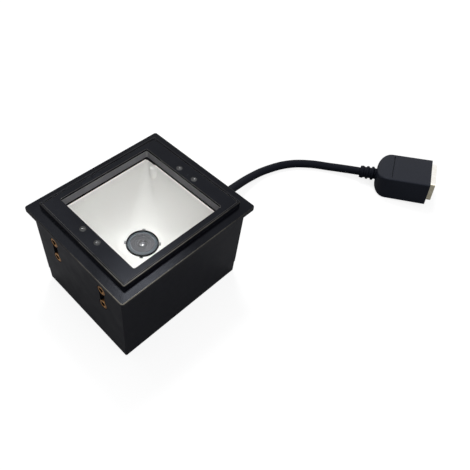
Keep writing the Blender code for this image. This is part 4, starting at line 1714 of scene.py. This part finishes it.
@dataclass
class Socket:
    """The moulded socket on the cord's end: shell, ribbed relief, shield, insulator and contacts."""

    place_x: float = 0.07207
    place_y: float = 0.16747
    lift: float = 0.00356
    angle: float = 25.7
    tilt: float = 8.4
    length: float = 0.0306
    width: float = 0.0238
    height: float = 0.0155
    shoulder: float = 0.0075
    shoulder_corner: float = 0.6
    fullest_corner: float = 0.98
    end_round: float = 0.0032
    edge: float = 0.0008
    mouth_edge: float = 0.0002
    groove: float = 0.0005
    groove_depth: float = 0.0010
    groove_place: float = 0.0215
    groove_width: float = 0.0200
    relief_radius: float = 0.0033
    relief_rib: float = 0.0042
    relief_rib_length: float = 0.0017
    relief_gap: float = 0.0013
    relief_ribs: int = 3
    relief_taper: float = 0.04
    relief_soft: float = 0.15
    lap: float = 0.0007
    jack_width: float = 0.0190
    jack_height: float = 0.0126
    jack_raise: float = 0.0005
    jack_depth: float = 0.0130
    jack_reach: float = 0.0028
    jack_sheet: float = 0.0005
    jack_corner: float = 0.0008
    contacts: int = 8

    def frame(self) -> Matrix:
        """+X out of the raised open end, +Z up from the lower face, from that end's lower edge."""
        turn = Matrix.Rotation(math.radians(self.angle), 4, "Z")
        raised = Matrix.Rotation(-math.radians(self.tilt), 4, "Y")
        return at(self.place_x, self.place_y, self.lift) @ turn @ raised

    def along(self, x: float, z: float) -> Matrix:
        """A frame on the socket's axis whose +Z points out of its open end, with its +X up."""
        turn = Matrix(((0, 0, 1, 0), (0, -1, 0, 0), (1, 0, 0, 0), (0, 0, 0, 1)))
        return self.frame() @ at(x, 0.0, z) @ turn

    @property
    def jack_middle(self) -> float:
        """How high the jack's axis lies above the shell's lower face."""
        return self.height / 2 + self.jack_raise

    @property
    def relief_length(self) -> float:
        """How far the relief reaches from the shell."""
        return self.relief_ribs * (self.relief_rib_length + self.relief_gap)

    def shell(self) -> bpy.types.Object:
        """The moulded shell with round shoulders, a groove across its top and the jack's pocket.

        Returns:
            The piece.
        """
        middle = (self.height / 2, 0.0)
        rings = []
        for turn in quarter_turn(24):
            narrow = self.shoulder * (1 - math.sin(turn))
            drop = self.end_round * (1 - math.sin(turn))
            z = -self.length + self.shoulder * (1 - math.cos(turn))
            corner = self.edge + narrow * self.shoulder_corner
            half_x, half_y = self.height / 2 - drop, self.width / 2 - narrow
            fullest = min(half_x, half_y) * self.fullest_corner
            rings.append((half_x, half_y, min(corner, fullest), z))
        rings.append((self.height / 2, self.width / 2, self.edge, 0.0))
        mesh = lofted(rings, centre=middle)
        round_edges(mesh, ring_edges(mesh, rings[-1], middle), self.mouth_edge, segments=2)
        floor = self.height - self.groove_depth
        groove = box(self.groove / 2, self.groove_width / 2, floor, self.height + OVERCUT)
        back = self.along(0.0, 0.0).inverted() @ self.frame()
        moved(groove, back @ at(-self.groove_place, 0.0))
        sides = (self.jack_height / 2 + SEAT, self.jack_width / 2 + SEAT, self.jack_corner + SEAT)
        bottom = -self.jack_depth - SEAT
        pocket = lofted([(*sides, bottom), (*sides, OVERCUT)], centre=(self.jack_middle, 0.0))
        mesh = carve(mesh, [(groove, Join.CUT), (pocket, Join.CUT)])
        return finish_piece(
            "socket_moulding",
            mesh,
            SOCKET_PVC,
            self.along(0.0, 0.0),
            stands_for=["socket_shell"],
            smooth=32.0,
        )

    def relief(self) -> bpy.types.Object:
        """The ribbed relief that leads the cord into the shell, and laps a little over both.

        Returns:
            The piece.
        """
        profile = [(0.0, -self.relief_length - self.lap)]
        soft = self.relief_rib_length * self.relief_soft
        for k in range(self.relief_ribs):
            rib = self.relief_rib * (1 - self.relief_taper * (self.relief_ribs - 1 - k))
            start = -self.relief_length + k * (self.relief_rib_length + self.relief_gap)
            end = start + self.relief_rib_length
            profile += [
                (rib - self.relief_gap / 4, start if k else start - self.lap),
                (rib - soft * 0.3, start + soft),
                (rib, start + 2 * soft),
                (rib, end - 2 * soft),
                (rib - soft * 0.5, end - soft),
                (self.relief_radius + soft, end - soft * 0.2),
                (self.relief_radius, end + soft),
                (self.relief_radius, end + self.relief_gap),
            ]
        profile += [(self.relief_radius, self.lap), (0.0, self.lap)]
        return finish_piece(
            "relief_ribs",
            spun(profile),
            CORD_PVC,
            self.along(-self.length, self.height / 2),
            stands_for=["socket_relief"],
        )

    def shield(self) -> bpy.types.Object:
        """The plated sheet round the jack.

        Returns:
            The piece.
        """
        half_h, half_w, sheet = self.jack_height / 2, self.jack_width / 2, self.jack_sheet
        outer = (half_h, half_w, self.jack_corner)
        inner = (half_h - sheet, half_w - sheet, self.jack_corner - sheet)
        low, high = -self.jack_depth, self.jack_reach
        mesh = lofted([(*outer, low), (*outer, high), (*inner, high), (*inner, low)], closed=True)
        for ring in ((*outer, high), (*inner, high)):
            round_edges(mesh, ring_edges(mesh, ring), sheet / 4, segments=2)
        # The sideways faces take a painted shade, darker and warmer than the top.
        for face in mesh.faces:
            sideways = abs(face.normal.y) > 0.7
            face.material_index = int(sideways)
        return finish_piece(
            "shield_sheet",
            mesh,
            [TIN_SHEET, TIN_SIDE_SHADE],
            self.along(0.0, self.jack_middle),
            stands_for=["jack_shield"],
        )

    def build(self) -> list[bpy.types.Object]:
        """Builds the socket and dresses the CAD nodes inside it.

        Returns:
            Every piece on the cord's end.
        """
        pieces = [self.shell(), self.relief(), self.shield()]
        pieces.append(dress_node("jack_insulator", JACK_NYLON))
        for k in range(self.contacts):
            pieces.append(dress_node(f"contact_{k + 1}", GOLD_FLASH))
        return pieces


@dataclass
class Cord:
    """The cord from its boot at the housing to the socket's relief, along the route of the part's source."""

    radius: float = 0.0025
    boot_radius: float = 0.0044
    boot_tip: float = 0.0032
    boot_length: float = 0.0090
    boot_collar: float = 0.0058
    boot_collar_depth: float = 0.0020
    boot_collar_edge: float = 0.0002
    boot_lap: float = 0.0008
    boot_ribs: int = 3
    boot_rib_start: float = 0.36
    boot_rib_step: float = 0.2
    boot_rib: tuple[tuple[float, float], ...] = (
        (0.86, 0.0),
        (0.98, 0.03),
        (1.0, 0.05),
        (1.0, 0.11),
        (0.98, 0.13),
        (0.86, 0.16),
    )
    turn: float = 0.38
    length: float = 0.125
    route: tuple[tuple[float, float, float], ...] = (
        (-0.0039, 0.0650, 0.0122),
        (-0.0060, 0.0760, 0.0088),
        (-0.0077, 0.0940, 0.0046),
        (-0.0062, 0.1088, 0.0028),
        (-0.0005, 0.1228, 0.0027),
        (0.0081, 0.1331, 0.0027),
        (0.0189, 0.1412, 0.0029),
    )

    def ends(self, housing: Housing, socket: Socket) -> tuple[Vector, Vector, Vector, Vector]:
        """Where the cord's axis starts and ends.

        Args:
            housing: the tub that it leaves.
            socket: the socket that it enters.

        Returns:
            The start, the way out of it, the end and the way back from it.
        """
        start = Vector((housing.exit_x, housing.body_y / 2 + self.boot_length + SEAT, housing.exit_height))
        back = -socket.relief_length - SEAT - socket.length
        end = socket.frame() @ Vector((back, 0.0, socket.height / 2))
        return start, Vector((0, 1, 0)), end, -(socket.frame().to_3x3() @ Vector((1, 0, 0)))

    def sheath(self, housing: Housing, socket: Socket) -> bpy.types.Object:
        """The sheath as one smooth curve through the route.

        Args:
            housing: the tub that it leaves.
            socket: the socket that it enters.

        Returns:
            The piece.
        """
        start, out, end, back = self.ends(housing, socket)
        straight = 3 * self.radius
        route = [Vector(point) for point in self.route]
        knots = [start, start + out * straight, *route, end + back * straight, end]
        ways = [out] + [(b - a).normalized() for a, b in zip(knots, knots[2:])] + [-back]
        curve = bpy.data.curves.new("cord_sheath", "CURVE")
        curve.dimensions = "3D"
        curve.bevel_depth = self.radius
        curve.bevel_resolution = 10
        curve.resolution_u = 16
        curve.use_fill_caps = True
        spline = curve.splines.new("BEZIER")
        spline.bezier_points.add(len(knots) - 1)
        for k, (target, knot) in enumerate(zip(spline.bezier_points, knots)):
            before = (knot - knots[max(k - 1, 0)]).length * self.turn
            after = (knots[min(k + 1, len(knots) - 1)] - knot).length * self.turn
            target.handle_left_type = target.handle_right_type = "FREE"
            target.co = knot
            target.handle_left = knot - ways[k] * (before or after)
            target.handle_right = knot + ways[k] * (after or before)
        made = bpy.data.objects.new("cord_sheath", curve)
        bpy.context.scene.collection.objects.link(made)
        curve.materials.append(SHOP.material(CORD_PVC))
        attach(made, ROOT)
        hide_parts("cord")
        LOG.info("cord_sheath: %d knots", len(knots))
        return made

    def boot(self, housing: Housing) -> bpy.types.Object:
        """The rubber boot: a collar inside the wall, a neck through it and a ribbed taper outside.

        Places along the taper are shares of its reach. A rib's form is (share of its radius, place) points.

        Args:
            housing: the tub that it is held in.

        Returns:
            The piece.
        """
        inside = -housing.wall - SEAT
        collar, tip, reach = self.boot_collar, self.boot_tip, self.boot_length
        depth, edge = self.boot_collar_depth, self.boot_collar_edge
        profile = [
            (0.0, inside - depth),
            (collar * 0.9, inside - depth),
            (collar, inside - depth * 0.7),
            (collar, inside),
            (self.boot_radius, inside),
            (self.boot_radius, SEAT),
            (collar - edge, SEAT),
            (collar, SEAT + edge),
            (collar, reach * 0.13),
            (collar - edge * 1.5, reach * 0.16),
            (self.boot_radius, reach * 0.24),
        ]
        for k in range(self.boot_ribs):
            start = self.boot_rib_start + self.boot_rib_step * k
            rib = self.boot_radius + (tip - self.boot_radius) * (start + self.boot_rib_step / 2)
            profile += [(rib * share, reach * (start + place)) for share, place in self.boot_rib]
        profile += [(tip, reach), (tip, reach + self.boot_lap), (0.0, reach + self.boot_lap)]
        place = facing(End.BACK, housing.exit_x, housing.body_y / 2, housing.exit_height)
        return finish_piece(
            "cord_boot_ribs", spun(profile), CORD_PVC, place, stands_for=["cord_boot"]
        )

    def build(self, housing: Housing, socket: Socket) -> None:
        """Args:
            housing: the tub that it leaves.
            socket: the socket on its end.
        """
        sheath = self.sheath(housing, socket)
        pieces = [self.boot(housing), *socket.build()]


@dataclass(frozen=True)
class Lamp:
    """One softbox."""

    name: str
    place: tuple[float, float, float]
    target: tuple[float, float, float]
    size: tuple[float, float]
    power: float

    def build(self) -> None:
        """Puts the softbox in its place, turned to its target."""
        light = bpy.data.lights.new(self.name, "AREA")
        light.shape = "RECTANGLE"
        light.size, light.size_y = self.size
        light.energy = self.power
        made = bpy.data.objects.new(self.name, light)
        made.location = self.place
        way = Vector(self.target) - Vector(self.place)
        made.rotation_euler = way.to_track_quat("-Z", "Y").to_euler()
        bpy.context.scene.collection.objects.link(made)


@dataclass
class Studio:
    """The photograph's camera, the pale floor, the white surround and the lamps."""

    azimuth: float = 43.345
    elevation: float = 51.072
    roll: float = 3.861
    eye: tuple[float, float, float] = (0.11972, -0.09666, 0.22317)
    focal_pixels: float = 503.64
    centre_pixel: float = 185.0
    frame_pixels: float = 470.0
    sensor: float = 36.0
    clip: tuple[float, float] = (0.01, 20.0)
    ambient: float = 0.28
    floor_colour: str = "#a8a8a8"
    floor_glow: float = 0.82
    floor_half: float = 2.0
    lamps: tuple[Lamp, ...] = (
        Lamp("overhead_softbox", (-0.09, 0.03, 0.68), (0.0, 0.0, 0.03), (0.3, 0.3), 0.2),
        Lamp("left_softbox", (-0.34, 0.02, 0.6), (0.0, 0.0, 0.03), (0.25, 0.25), 0.4),
        Lamp("small_softbox", (-0.228, 0.204, 0.68), (0.0, 0.0, 0.05), (0.12, 0.12), 1.15),
        Lamp("front_softbox", (0.40, -0.15, 0.56), (0.0, 0.0, 0.03), (0.4, 0.4), 0.85),
    )

    def camera(self) -> None:
        """The camera at the photograph's place, with the shift that its framing needs."""
        azimuth, elevation, roll = (math.radians(a) for a in (self.azimuth, self.elevation, self.roll))
        back = Vector(
            (
                math.sin(azimuth) * math.cos(elevation),
                -math.cos(azimuth) * math.cos(elevation),
                math.sin(elevation),
            )
        )
        level = Vector((math.cos(azimuth), math.sin(azimuth), 0.0))
        upright = back.cross(level)
        right = math.cos(roll) * level + math.sin(roll) * upright
        up = -math.sin(roll) * level + math.cos(roll) * upright
        data = bpy.data.cameras.new("photo_camera")
        data.sensor_width = self.sensor
        data.lens = self.focal_pixels / self.frame_pixels * self.sensor
        data.shift_x = (self.frame_pixels / 2 - self.centre_pixel) / self.frame_pixels
        data.clip_start, data.clip_end = self.clip
        made = bpy.data.objects.new("photo_camera", data)
        turn = Matrix((right, up, back)).transposed().to_4x4()
        made.matrix_world = Matrix.Translation(self.eye) @ turn
        bpy.context.scene.collection.objects.link(made)
        bpy.context.scene.camera = made

    def surround(self) -> None:
        """A world that is white to the eye and in reflections, and lights the object only gently."""
        world = bpy.data.worlds.new("white_surround")
        world.use_nodes = True
        tree = world.node_tree
        tree.nodes.clear()
        seen = add_node(tree, "ShaderNodeBackground", {"Color": linear("#ffffff"), "Strength": 1.0})
        gentle = {"Color": linear("#fdfdff"), "Strength": self.ambient}
        light = add_node(tree, "ShaderNodeBackground", gentle)
        mixed = add_node(
            tree,
            "ShaderNodeMixShader",
            {},
            {0: self.seen_rays(tree), 1: light.outputs[0], 2: seen.outputs[0]},
        )
        add_node(tree, "ShaderNodeOutputWorld", {}, {"Surface": mixed.outputs[0]})
        bpy.context.scene.world = world

    def seen_rays(self, tree: bpy.types.NodeTree) -> bpy.types.NodeSocket:
        """One for rays from the camera and for those that it sees in gloss or through glass.

        A ray that a matt surface sends out through the pane lights the bowl, so it doesn't count.

        Args:
            tree: the node tree that gets the nodes.

        Returns:
            The socket that is 1 for such rays and 0 for the rest.
        """
        rays = add_node(tree, "ShaderNodeLightPath")
        gloss = add_node(
            tree,
            "ShaderNodeMath",
            {"operation": "MAXIMUM"},
            {0: rays.outputs["Is Camera Ray"], 1: rays.outputs["Is Glossy Ray"]},
        )
        seen = add_node(
            tree,
            "ShaderNodeMath",
            {"operation": "MAXIMUM"},
            {0: gloss.outputs[0], 1: rays.outputs["Is Transmission Ray"]},
        )
        direct = add_node(
            tree, "ShaderNodeMath", {"operation": "LESS_THAN", 1: 0.5}, {0: rays.outputs["Diffuse Depth"]}
        )
        return add_node(
            tree, "ShaderNodeMath", {"operation": "MULTIPLY"}, {0: seen.outputs[0], 1: direct.outputs[0]}
        ).outputs[0]

    def floor(self) -> None:
        """A pale sweep of paper, just below the object, that reads as white and keeps its soft shadow.

        The camera sees it brighter than it is, and the walls mirror it as it is, with the shadow darker.
        """
        mesh = bmesh.new()
        below = at(0.0, 0.0, -HAIR)
        bmesh.ops.create_grid(mesh, x_segments=1, y_segments=1, size=self.floor_half, matrix=below)
        sweep = as_object("paper_floor", mesh)
        material, tree, output = empty_material("paper_sweep")
        paper = add_node(
            tree, "ShaderNodeBsdfDiffuse", {"Color": linear(self.floor_colour), "Roughness": 0.5}
        )
        glow = add_node(tree, "ShaderNodeEmission", {"Color": linear("#ffffff")})
        rays = add_node(tree, "ShaderNodeLightPath")
        lit = add_node(
            tree,
            "ShaderNodeMath",
            {"operation": "MULTIPLY", 1: self.floor_glow},
            {0: rays.outputs["Is Camera Ray"]},
        )
        tree.links.new(lit.outputs[0], glow.inputs["Strength"])
        both = add_node(tree, "ShaderNodeAddShader", {}, {0: paper.outputs[0], 1: glow.outputs[0]})
        tree.links.new(both.outputs[0], output.inputs["Surface"])
        sweep.data.materials.append(material)

    def build(self) -> None:
        """Sets up the whole studio."""
        self.camera()
        self.surround()
        self.floor()
        for lamp in self.lamps:
            lamp.build()
        bpy.context.scene.view_settings.view_transform = "Standard"


def main() -> None:
    """Builds the studio, the cord with its socket, and then the scanner from the outside in."""
    logging.basicConfig(level=logging.INFO, format="%(name)s: %(message)s")
    housing, mounts, window, bowl, camera = Housing(), Mounts(), Window(), Bowl(), Camera()
    Studio().build()
    Cord().build(housing, Socket())
    housing.build(mounts, window)
    mounts.build(housing)
    window.build(housing)
    bowl.build(housing, window, camera)
    camera.build(bowl)
    Underside().build(housing)


if __name__ == "__main__":
    main()
